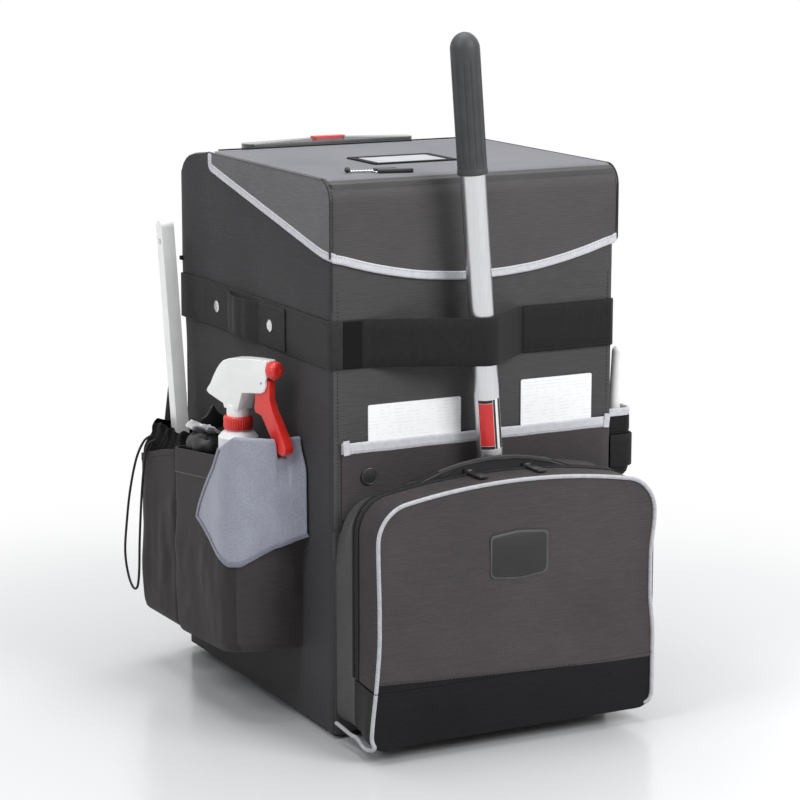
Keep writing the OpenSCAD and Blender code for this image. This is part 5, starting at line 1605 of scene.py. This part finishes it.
    def zip(self, shop: Shop) -> None:
        """Lay the zip between sleeve and gusset, with two sliders and their pulls."""
        track = shop.refined("zip_track", "zip_tape", 0.0)
        line = [p for p in self.outline(False, 3.0) if p.z >= self.fold + 2]
        out = self.outward(line)
        out[0], out[-1] = Vector((1, 0, 0)), Vector((-1, 0, 0))
        path = [Vector((p.x + n.x * 0.3, self.split - 2.7, p.z + n.z * 0.3)) for p, n in zip(line, out)]
        coil = shop.stitches("zip_coil", even(path, 12), self.outward(even(path, 12)), 2.8, 1.9, 3.8, 1.3)
        shop.finish(track, Look.THREAD, 40, "cart", "dark_fabric", "zip_track")
        shop.finish(coil, Look.PLASTIC, 40, "cart", "dark_fabric")
        for body, node, x in (("left_pull", "zip_pull_left", -34.0), ("right_pull", "zip_pull_right", 40.0)):
            pull = shop.refined(node, f"{body}_tab", 0.5, 3)
            z = self.crown[1] + sqrt(self.crown[0] ** 2 - x * x) + 3.3
            ribs = [shop.slab("rib", [(x - 4.4, y, z - 0.1), (x + 4.4, y, z - 0.1), (x + 4.4, y + 1.5, z - 0.1),
                                      (x - 4.4, y + 1.5, z - 0.1)], (0, 0, 0.7), 0.2, 1)
                    for y in (-290.0, -286.6, -283.2, -279.8)]
            shop.finish(pull, Look.PLASTIC, 40, body, "black_plastic", node)
            shop.finish(shop.joined(f"{body}_ribs", ribs), Look.GRIP, 40, body, "black_plastic")

    def build(self, shop: Shop) -> None:
        """Build everything on the front."""
        self.slip(shop)
        self.sleeve(shop)
        self.flap(shop)
        self.patch(shop)
        self.boot(shop)
        self.zip(shop)


@dataclass
class Pouch:
    """A soft pocket that stands out from a side wall."""

    name: str
    corners: tuple[Triple, ...]
    rim: tuple[Pair, ...]
    base: tuple[Pair, ...]
    bulge: float = 2.4
    crease: float = 1.5
    hem: float = 24.0
    seed: float = 1.0
    calm_above: float = 400.0

    def steps(self) -> list[Step]:
        """Walk round the pocket's outside."""
        return walk(self.corners, False, 5.0, 12)

    def rim_at(self, x: float, y: float) -> float:
        """Height of the upper edge."""
        return lookup(self.rim, y)

    def push(self, step: Step, z: float, length: float) -> float:
        """How far the cloth stands out from its flat pattern."""
        x, y, _, _, s = step
        low, high = lookup(self.base, y), self.rim_at(x, y)
        up = clamp((z - low) / (high - low))
        ends = smooth(0, 14, min(s, length - s))
        swell = self.bulge * sin(pi * up ** 0.8) ** 1.2
        fine = 0.45 * ripple((x, y, z * 0.5), 15, self.seed + 2)
        folds = self.crease * (ripple((x, y, z * 0.3), 34, self.seed) + fine)
        folds *= 0.35 + 0.65 * sin(pi * clamp(up * 1.05))
        quiet = 1 - smooth(self.calm_above - 40, self.calm_above + 10, z)
        return ends * (swell * quiet + folds * max(quiet, 0.25))

    def cloth(self, shop: Shop, look: Look, rows: int = 44) -> list[Piece]:
        """Sew the sides and the bottom."""
        steps = self.steps()
        length = steps[-1][4]
        under = [(30.0, 2.5), (20.0, 1.0), (11.0, 0.6), (5.0, 2.2), (1.6, 6.0)]  # inset and rise of the bottom

        def shape(u: float, v: float) -> Point:
            step = steps[round(u * (len(steps) - 1))]
            x, y, nx, ny, _ = step
            k = round(v * (rows + len(under)))
            low, high = lookup(self.base, y), self.rim_at(x, y)
            if k < len(under):
                inset, rise = under[k]
                return x - nx * inset, y - ny * inset, low + rise
            z = low + 12 + (high - low - 12) * (k - len(under)) / rows
            push = self.push(step, z, length)
            if z > high - self.hem:
                push += 0.7 * smooth(high - self.hem, high - self.hem + 1.5, z)
            return x + nx * push, y + ny * push, z

        side = shop.sheet(f"{self.name}_cloth", len(steps) - 1, rows + len(under), shape, 2.0, -1.0)
        shop.dress(side, look, 60)
        # Faces that look sideways take the darker copy of the cloth: painted shade.
        if look is Look.POUCH:
            side.data.materials.append(Look.POUCH_SIDE.material())
            for polygon in side.data.polygons:
                place = (polygon.center - shop.shift) / MM
                near = min(steps, key=lambda t: (t[0] - place.x) ** 2 + (t[1] - place.y) ** 2)
                polygon.material_index = int(abs(near[2]) > 0.8)
        path, faces = [], []
        for step in steps:
            x, y, nx, ny, _ = step
            z = self.rim_at(x, y) - self.hem + 2.5
            push = self.push(step, z, length) + 0.8
            path.append((x + nx * push, y + ny * push, z))
            faces.append((nx, ny, 0))
        seam = shop.stitches(f"{self.name}_seam", path, faces, 4.0)
        shop.dress(seam, Look.PALE_THREAD if self.hem > 30 else Look.THREAD)
        return [side, seam]


@dataclass
class BottlePouch(Pouch):
    """The pocket for the sprayer, with a dip in its front edge below the trigger."""

    notch: Triple = (-203.7, 14.1, 300.5)

    def rim_at(self, x: float, y: float) -> float:
        """Height of the upper edge, lower below the trigger."""
        high = lookup(self.rim, y)
        if y < -117 and x > -238.5:
            away = clamp((abs(x - self.notch[0]) - (self.notch[1] - 7.5)) / 1.5)
            return max(high - 30 * (1 - away), self.notch[2])
        return high


@dataclass
class SidePockets:
    """Pockets on both sides, the gathered collar, the rolled liners and the slim tool's pocket."""

    bottle: BottlePouch = field(default_factory=lambda: BottlePouch(
        "bottle_pocket", ((-179, 62, 0), (-258.5, 62, 14), (-258.5, -128, 50), (-179, -128, 0)),
        ((-129, 322), (-124, 324), (-104, 324), (-84, 310), (-68, 300), (63, 285)),
        ((-129, 77), (-114, 75), (-68, 68), (48, 62), (63, 76)), seed=3.0, calm_above=205.0, crease=3.2, hem=31.0))
    tall: Pouch = field(default_factory=lambda: Pouch(
        "drawstring_pocket", ((-179, 196, 0), (-249, 196, 16), (-249, 66, 16), (-179, 66, 0)),
        ((66, 280), (110, 272), (196, 250)), ((66, 66), (75, 58), (180, 56), (196, 72)), seed=5.0, hem=10.0, crease=3.4,
        calm_above=240.0))
    slim: Pouch = field(default_factory=lambda: Pouch(
        "tube_pocket", ((179, -204, 0), (210, -204, 10), (210, -168, 10), (179, -168, 0)),
        ((-204, 330), (-168, 330)), ((-204, 255), (-168, 255)), bulge=0.4, crease=0.4, hem=20.0, seed=8.0))

    def collar(self, shop: Shop) -> None:
        """Gather the black collar with its draw channel and the ruffle above it."""
        steps = walk([(-240, 187, 13), (-240, 75, 13), (-183, 75, 13), (-183, 187, 13)], True, 2.6, 8)
        total = steps[-1][4]
        # Height, distance outwards and depth of the gathers.
        rows = [(238, 6.5, 0.3), (246, 8.0, 0.8), (253, 8.6, 1.6), (259, 8.0, 2.2), (264, 6.2, 2.5),
                (269, 3.4, 2.5), (273, 0.6, 2.2), (277, -1.8, 1.6), (280, -3.4, 1.3), (283, -3.6, 1.9),
                (287, -4.0, 2.6), (290, -4.8, 2.8), (293, -6.5, 2.2)]

        def shape(u: float, v: float) -> Point:
            x, y, nx, ny, s = steps[round(u * (len(steps) - 1))]
            z, lean, deep = rows[round(v * (len(rows) - 1))]
            turn = s / total * TAU
            fold = ripple((x, y, z * 0.35), 15, 4.0) + 0.6 * ripple((x, y, z * 0.6), 7, 2.0)
            fold += 0.4 * sin(turn * 19 + 2 * sin(turn * 5))
            rise = 5 * smooth(110, 66, y) * smooth(238, 262, z) + 2.0 * sin(turn * 9 + 1) * smooth(270, 293, z)
            return x + nx * (lean + deep * fold), y + ny * (lean + deep * fold) * 0.8, z + rise

        cloth = shop.sheet("collar_cloth", len(steps) - 1, len(rows) - 1, shape, 1.2, -1.0)
        shop.softened(cloth)
        wing = shop.slab("rear_wing", [(-199, 190, 270), (-217, 190, 270), (-216, 190, 290), (-210.6, 190, 331),
                                       (-205.5, 190, 350), (-199, 190, 350)], (0, -1.8, 0), 0.5, 2)
        shop.finish(cloth, Look.COLLAR, 60, "cart", "dark_fabric", "drawstring_collar")
        shop.finish(wing, Look.WALL, 40, "cart", "wall_fabric")

    def liners(self, shop: Shop) -> None:
        """Roll the bin liners, with their crumpled silvery ends at the top."""
        steps = walk([(-246, 49, 16), (-246, 2, 16), (-188, 2, 16), (-188, 49, 16)], True, 2.4, 8)
        total = steps[-1][4]

        def shape(u: float, v: float) -> Point:
            x, y, nx, ny, s = steps[round(u * (len(steps) - 1))]
            z = 78 + 225 * v
            turn = s / total * TAU
            crush = 2.4 * ripple((x, y, z), 22, 4.0) + 1.6 * ripple((x, y, z), 9, 2.0) * smooth(250, 300, z) - 1.4
            return (x + nx * crush, y + ny * crush, z + 5 * ripple((x, y, 0), 13, 1.0) * smooth(280, 303, z)
                    + 2 * sin(turn * 5) * smooth(280, 303, z))

        roll = shop.sheet("liner_roll", len(steps) - 1, 60, shape, 1.6, -1.0)
        middle = (-217, 25.5)
        # Share of the roll's width, and height, from the rim to the middle.
        dome = [(1.14, 286), (1.17, 293), (1.1, 299), (0.98, 303), (0.85, 305), (0.7, 306), (0.55, 306), (0.42, 305),
                (0.3, 304), (0.18, 303), (0.06, 303)]

        def crown(u: float, v: float) -> Point:
            x, y, *_ = steps[round(u * (len(steps) - 1))]
            away = Vector((x - middle[0], y - middle[1]))
            keep, z = dome[round(v * 10)]
            crush = 3.4 * ripple((x, y, v * 60), 12, 6.0) + 1.8 * ripple((x, y, v * 90), 5, 1.0)
            return middle[0] + away.x * keep + 0.4 * crush, middle[1] + away.y * keep + 0.4 * crush, z + crush

        black = shop.sheet("liner_crown", len(steps) - 1, 10, crown, 0.8, 0.0)
        shop.softened(black)

        def strip(u: float, v: float) -> Point:
            x = -239 + 6 * u + 26 * v * u
            y = 50 - 62 * u
            edge = 319 + 3 * ripple((x, y, 0), 9, 3.0)
            z = edge - (13 + 5 * ripple((x, y, 9), 12, 5.0)) * v
            bow = -6 * sin(pi * v) + 2.4 * ripple((x, y, z), 7, 8.0)
            return x + bow, y + 2.2 * ripple((x, y, z), 6, 2.0), z

        film = shop.sheet("liner_ends", 60, 14, strip, 0.5, 0.0)
        shop.softened(film)
        tip = shop.slab("liner_peak", [(-203, 44, 306), (-228, 46, 306), (-228.5, 46, 319), (-222, 45.6, 322),
                                       (-218, 45.3, 329), (-214, 45, 335), (-210.5, 44.6, 328), (-207, 44.4, 324),
                                       (-202, 44, 321)], (1.5, -1.6, 0), 0.5, 2)
        shop.finish(black, Look.FILM, 25, "liners", "liner_film")
        shop.finish(tip, Look.FILM, 30, "liners", "liner_film")
        shop.finish(roll, Look.FILM, 35, "liners", "liner_film", "liner_bundle")
        shop.finish(film, Look.CLEAR_FILM, 20, "liners", "liner_film")

    def slim_pocket(self, shop: Shop) -> None:
        """Sew the slim tool's pocket with its backing, trim and elastic loop."""
        side, seam = self.slim.cloth(shop, Look.BLACK, 16)
        backing = shop.slab("slim_backing", [(179.2, -200, 276), (179.2, -172, 276), (179.2, -172, 414),
                                             (179.2, -200, 414)], (1.6, 0, 0), 0.4, 2)
        shop.dress(backing, Look.BLACK)
        steps = self.slim.steps()
        path = [(x - nx * 0.6, y - ny * 0.6, 333) for x, y, nx, ny, _ in steps]
        faces = [(nx, ny, 0) for _, _, nx, ny, _ in steps]
        trim = shop.dress(shop.ribbon("slim_trim", path, faces, 9.8, 2.8), Look.BINDING, 50)
        loop = [(x + nx * 3.0, y + ny * 3.0, 288) for x, y, nx, ny, _ in steps]
        elastic = shop.ribbon("slim_loop", loop, faces, 38, 2.2)
        shop.fit(side, "cart", "dark_fabric", "tube_pocket")
        for piece, slot in ((seam, "dark_fabric"), (backing, "dark_fabric"), (trim, "trim_tape")):
            shop.fit(piece, "cart", slot)
        shop.finish(elastic, Look.WEBBING, 50, "cart", "webbing", "tube_loop")

    def build(self, shop: Shop) -> None:
        """Build the side pockets."""
        side, seam = self.bottle.cloth(shop, Look.POUCH)
        shop.fit(side, "cart", "wall_fabric", "bottle_pocket")
        shop.fit(seam, "cart", "wall_fabric")
        side, seam = self.tall.cloth(shop, Look.POUCH)
        shop.fit(side, "cart", "wall_fabric", "drawstring_pocket")
        shop.fit(seam, "cart", "wall_fabric")
        self.collar(shop)
        self.liners(shop)
        self.slim_pocket(shop)


@dataclass
class Cloth:
    """Microfibre cloth folded over the bottle pocket's front edge."""

    pocket: BottlePouch
    edge: tuple[Pair, ...] = ((-59, 217), (-19.5, 196), (18.5, 175), (35.5, 177), (70.5, 198),
                                             (110, 214))
    left: float = -59.0
    right: float = 106.0
    gap: float = 0.5
    thick: float = 2.2
    drop: float = 30.0

    def plan(self, s: float, out: float) -> Pair:
        """Place in plan at a distance round the pocket's corner, out from its face."""
        x0, y0, r = self.pocket.corners[2]
        q = r * pi / 2
        if s < 0:
            return x0 - out, y0 + r - s
        if s < q:
            a = s / r
            return x0 + r - (r + out) * cos(a), y0 + r - (r + out) * sin(a)
        return x0 + r + s - q, y0 - out

    def along(self, u: float, t: float) -> float:
        """Distance round the corner of a column at a drop below the rim."""
        start = self.left + 63.5 * (1 - t) ** 1.5
        return start + (self.right - start) * u

    def fold(self, s: float, t: float) -> float:
        """How far folds stand out."""
        wave = (0.5 + 0.5 * sin(radians(s * 4.1 + 60 * t))) * 1.6 * t
        return wave + 15 * smooth(0, 0.35, t) * clamp((s - 64) / 42) ** 1.6

    def build(self, shop: Shop) -> None:
        """Make the cloth with its overlocked edge."""
        hang, over, inner = 40, 3, 6  # rows before the rim, over it and behind it
        rows = hang + over + inner

        def spot(u: float, row: int) -> Point:
            t = max(0.0, 1 - row / hang)
            s = self.along(u, t)
            x, y = self.plan(s, 0)
            rim = self.pocket.rim_at(x, y)
            if row <= hang:
                low = lookup(self.edge, self.along(u, 1))
                z = rim + self.gap + self.thick / 2 + (low - rim - self.gap) * t
                extra = 0.5 * ripple((x, y, z), 24, 3.0) * t + 0.2 * ripple((x, y, z), 9, 1.0) * t
                px, py = self.plan(s, self.gap + self.thick / 2 + self.fold(s, t) + max(0.0, extra + 0.3 * t))
                return px, py, z
            s = self.along(u, 0)
            inside = -2.5 - self.gap - self.thick / 2
            if row <= hang + over:
                f = (row - hang) / over
                mid = (self.gap + self.thick / 2 + inside) / 2
                half = (self.gap + self.thick / 2 - inside) / 2
                px, py = self.plan(s, mid + half * cos(f * pi))
                return px, py, rim + self.gap + self.thick / 2 + 1.2 * sin(f * pi)
            px, py = self.plan(s, inside)
            return px, py, rim + self.gap - self.drop * (row - hang - over) / inner

        cols = 88
        piece = shop.sheet("folded_cloth", cols, rows, lambda u, v: spot(u, round(v * rows)), self.thick * 0.8, 0.0)
        shop.softened(piece)
        edge = [Vector(spot(0.008, row)) for row in range(hang, 0, -1)]
        edge += [Vector(spot(k / cols, 1)) for k in range(cols + 1)]
        seam = even([p + self.out_at(p) for p in edge], 2.0)
        faces = [self.out_at(p) for p in seam]
        hem = shop.ribbon("cloth_hem", [p + n * 0.75 for p, n in zip(seam, faces)], faces, 4.6, 0.9)
        shop.finish(piece, Look.CLOTH, 70, "cart", "microfibre", "microfibre_cloth")
        shop.finish(hem, Look.CLOTH_EDGE, 60, "cart", "microfibre")

    def out_at(self, p: Vector) -> Vector:
        """Outward direction of the pocket's face beside a place."""
        x0, y0, r = self.pocket.corners[2]
        cx, cy = x0 + r, y0 + r
        if p.y > cy:
            return Vector((-1, 0, 0))
        if p.x > cx:
            return Vector((0, -1, 0))
        return Vector((p.x - cx, p.y - cy, 0)).normalized()


@dataclass
class Sprayer:
    """Trigger sprayer: milky bottle, ribbed red collar, white head, red trigger and nozzle."""

    axis: Triple = (-224.0, -54.0, 77.3)
    turn: float = 15.3 - 90
    shell: tuple[Pair, ...] = (
        (-12, 272), (-14, 277), (-27, 280.8), (-40, 284.7), (-44, 287.5), (-42.5, 291), (-37, 297), (-31, 307),
        (-25.5, 315), (-20, 321.3), (-13, 326.9), (-3, 330.4), (12, 332.2), (34, 334.2), (57.5, 335.4), (59, 334),
        (59, 315.2), (57.5, 312), (57.8, 306), (54.5, 299.5), (49, 296.8), (40, 295.7), (30, 294.7), (20, 293.7),
        (18, 288.7), (14, 277), (12, 272))
    gap: tuple[Pair, ...] = ((22, 262), (28, 290), (31, 319), (65, 319), (65, 262))
    wide: float = 22.0
    gap_wide: float = 9.8
    nozzle_height: float = 324.7

    def at(self, a: float, n: float, z: float) -> Vector:
        """Place in the head's own frame: forward, across, and up from the bottle's foot."""
        t = radians(self.turn)
        return Vector((self.axis[0] + a * cos(t) - n * sin(t),
                       self.axis[1] + a * sin(t) + n * cos(t), self.axis[2] + z))

    def forward(self, p: Vector) -> Pair:
        """How far a place is forward and across in the head's own frame."""
        t = radians(self.turn)
        x, y = p.x - self.axis[0], p.y - self.axis[1]
        return x * cos(t) + y * sin(t), y * cos(t) - x * sin(t)

    def turned(self, shop: Shop, name: str, profile: Sequence[Triple], lobes: int,
               deep: float, upright: bool) -> Piece:
        """Turn a profile of radius, distance and share of the ribbing round the neck or the nozzle."""
        def shape(u: float, v: float) -> Point:
            a = u * TAU
            r, along, share = profile[round(v * (len(profile) - 1))]
            r -= deep * share * smooth(0.3, -0.3, cos(a * lobes))
            if upright:
                return self.at(r * cos(a), r * sin(a), along)
            return self.at(along, r * cos(a), self.nozzle_height + r * sin(a))

        return shop.grid(name, max(64, lobes * 12), len(profile) - 1, shape, fill=True)

    def head(self, shop: Shop) -> None:
        """Mould the head, thick at the neck and slim at the nose, open where the trigger swings."""
        reach = self.at(0, self.wide, 0) - self.at(0, 0, 0)
        head = shop.slab("head_shell", [self.at(a, -self.wide / 2, z) for a, z in self.shell], reach, 4.6, 5, 28)

        def slim(p: Vector) -> Vector:
            a, n = self.forward(p)
            return self.at(a, n * (1 - 0.33 * smooth(18, 46, a)), p.z - self.axis[2])

        shop.warp(head, slim)
        cutter = shop.slab("trigger_gap", [self.at(a, -self.gap_wide / 2, z) for a, z in self.gap],
                           reach * (self.gap_wide / self.wide))
        shop.apply(head, "BOOLEAN", operation="DIFFERENCE", object=cutter, solver="EXACT")
        bpy.data.objects.remove(cutter, do_unlink=True)
        neck = self.turned(shop, "neck", [(12.0, 262.5, 0), (13.1, 263.2, 0), (13.1, 270, 0), (12.6, 276, 0),
                                          (9.0, 279, 0)], 0, 0.0, True)
        white = shop.joined("spray_head_shell", [head, neck])
        dots = []
        for side in (-1, 1):
            ring = [self.at(50 + 1.7 * cos(k * TAU / 20), side * 7.2, 309 + 1.7 * sin(k * TAU / 20))
                    for k in range(20)]
            dots.append(shop.slab("pin", ring, reach * (side * 0.4 / self.wide)))
        shop.finish(white, Look.WHITE, 45, "sprayer", "bottle_plastic", "spray_head")
        shop.finish(shop.joined("pivot_pin", dots), Look.PLASTIC, 40, "sprayer", "black_plastic")

    def build(self, shop: Shop) -> None:
        """Build the sprayer."""
        shop.keep(Look.BOTTLE, "spray_bottle")
        ribbed = [(15.0, 248.5, 0), (15.9, 248.6, 0), (16.4, 249.3, 0), (16.9, 250.4, 1), (16.9, 254, 1),
                  (16.9, 258, 1), (16.9, 261.4, 1), (16.3, 262.6, 0), (15.6, 263.6, 0), (13.4, 263.9, 0)]
        collar = self.turned(shop, "ribbed_collar", ribbed, 36, 0.6, True)
        self.head(shop)
        trigger = shop.refined("trigger", "trigger_lever", 2.2, 5, 30)

        def pinch(p: Vector) -> Vector:
            a, n = self.forward(p)
            z = p.z - self.axis[2]
            return self.at(a, n * (0.72 + 0.28 * smooth(285, 262, z)), z)

        shop.dress(shop.warp(trigger, pinch), Look.SPRAY_RED, 50)
        knob = [(4.2, 59.2, 0), (7.6, 59.3, 0), (9.2, 60.1, 0), (10.1, 61.6, 1), (10.3, 64, 1), (10.2, 67, 1),
                (9.7, 69.2, 1), (8.9, 70.9, 0), (7.6, 72.2, 0), (6.0, 72.8, 0), (3.0, 72.8, 0), (2.4, 71.6, 0)]
        nozzle = self.turned(shop, "nozzle_knob", knob, 26, 0.35, False)
        shop.finish(collar, Look.SPRAY_RED, 60, "sprayer", "spray_red", "spray_collar")
        shop.fit(trigger, "spray_trigger", "spray_red", "trigger")
        shop.finish(nozzle, Look.SPRAY_RED, 50, "spray_nozzle", "spray_red", "nozzle")


@dataclass
class Tools:
    """Mop pole, brush and slim tool."""

    foot: Triple = (30.8, -226.7, 15.27)
    run: Triple = (-0.095775, -0.038388, 0.994663)
    tube: float = 14.15
    grip: Triple = (16.4, 615.0, 751.5)

    def lathe(self, shop: Shop, name: str, profile: Sequence[Triple], lobes: int, deep: float) -> Piece:
        """Turn a profile of radius, distance and share of the flutes round the pole's axis."""
        foot, run = Vector(self.foot), Vector(self.run).normalized()
        side = run.cross(Vector((0, 1, 0))).normalized()
        front = run.cross(side)

        def shape(u: float, v: float) -> Point:
            a = u * TAU
            r, s, share = profile[round(v * (len(profile) - 1))]
            r -= deep * share * smooth(0.2, 0.9, cos(a * lobes))
            return foot + run * s + side * (r * cos(a)) + front * (r * sin(a))

        return shop.grid(name, 180, len(profile) - 1, shape, fill=True)

    def pole(self, shop: Shop) -> None:
        """Build the pole with its fluted grip and plain bands."""
        shop.keep(Look.TUBE, "pole_tube")
        r, start, dome = self.grip
        line = [(14.6, start, 0.0), (16.7, start + 0.2, 0.0), (16.9, start + 1.0, 0.0), (16.9, start + 5.0, 0.0),
                (r, start + 6.5, 0.0)]
        line += [(r, start + 8.0 + k * 3, hump(0, 3, 37, 41, k)) for k in range(42)]
        line += [(r * cos(radians(a)), dome + 18.6 * sin(radians(a)), 0.0) for a in range(8, 89, 8)]
        grip = self.lathe(shop, "fluted_grip", line, 14, 0.8)
        shop.finish(grip, Look.RUBBER, 50, "mop_pole", "black_plastic", "pole_grip")
        for name, look, span, turn, lift in (
                ("sticker", Look.CARD_WHITE, (304, 362), (-44, 79), 0.0),
                ("sticker_block", Look.RED, (308.5, 357.5), (-42, 25), 0.12),
                ("sticker_foot", Look.PATCH, (304.5, 308.1), (-42, 25), 0.12),
                ("sticker_head", Look.PATCH, (357.9, 361.5), (-42, 25), 0.12),
                ("sticker_line", Look.PATCH, (304.5, 361.5), (27, 38), 0.12),
                ("sticker_stripe", Look.PATCH, (304.5, 361.5), (54, 75), 0.12)):
            shop.finish(self.label(shop, name, span, turn, lift), look, 40, "mop_pole", "label_plastic")

    def label(self, shop: Shop, name: str, span: Pair, turn: Pair, lift: float) -> Piece:
        """Stick a plain patch of film on the pole, between two distances along it and two angles round it."""
        foot, run = Vector(self.foot), Vector(self.run).normalized()
        front = Vector((-0.455, -0.890, 0))
        front = (front - run * front.dot(run)).normalized()
        side = run.cross(front)

        def shape(u: float, v: float) -> Point:
            a = radians(turn[0] + (turn[1] - turn[0]) * u)
            out = (front * cos(a) + side * sin(a)) * (self.tube + lift)
            return foot + run * (span[0] + (span[1] - span[0]) * v) + out

        return shop.sheet(name, 24, 2, shape, 0.25, 1.0)

    def build(self, shop: Shop) -> None:
        """Build the tools."""
        self.pole(shop)
        handle = shop.refined("brush_handle", "moulded_brush_handle", 3.8, 5, 30)
        shop.finish(handle, Look.WHITE, 45, "brush", "brush_white", "brush_handle")
        shop.keep(Look.BRISTLE, "brush_head")
        shop.keep(Look.WHITE, "wand")


@dataclass
class PullHandle:
    """Telescopic handle that slides out behind the lid."""

    @staticmethod
    def arched(p: Vector, foot: float) -> Vector:
        """Lower what stands above the grip's foot, more towards the grip's ends."""
        if p.z < foot:
            return p
        return Vector((p.x, p.y, foot + (p.z - foot) * (0.97 - 0.19 * smooth(40, 100, abs(p.x)))))

    def build(self, shop: Shop) -> None:
        """Round the handle's mouldings and finish its tubes."""
        foot = (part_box("handle_grip")[0].z - shop.shift.z) / MM
        for node, name, body, look, slot, bevel in (
                ("handle_grip", "grip_moulding", "pull_handle", Look.GRIP, "grey_plastic", 2.4),
                ("handle_bezel", "bezel_moulding", "cart", Look.PLASTIC, "black_plastic", 1.0),
                ("handle_button", "button_moulding", "release_button", Look.RED, "red_plastic", 0.7)):
            piece = shop.refined(node, name, bevel, 4, 40)
            if node != "handle_bezel":
                shop.warp(piece, lambda p: self.arched(p, foot))
            shop.finish(piece, look, 40, body, slot, node)
        shop.keep(Look.TUBE, "handle_tubes")


def main() -> None:
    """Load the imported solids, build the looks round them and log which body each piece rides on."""
    logging.basicConfig(level=logging.INFO, format="%(message)s")
    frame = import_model()
    shop = Shop.from_frame(frame)
    Shop.clear()
    Studio().build()
    Drawstring().build(shop)
    Shell().build(shop)
    Lid().build(shop)
    Webbing().build(shop)
    FrontPocket().build(shop)
    pockets = SidePockets()
    pockets.build(shop)
    Cloth(pockets.bottle).build(shop)
    Sprayer().build(shop)
    Tools().build(shop)
    PullHandle().build(shop)
    Shop.clear()


if __name__ == "__main__":
    main()
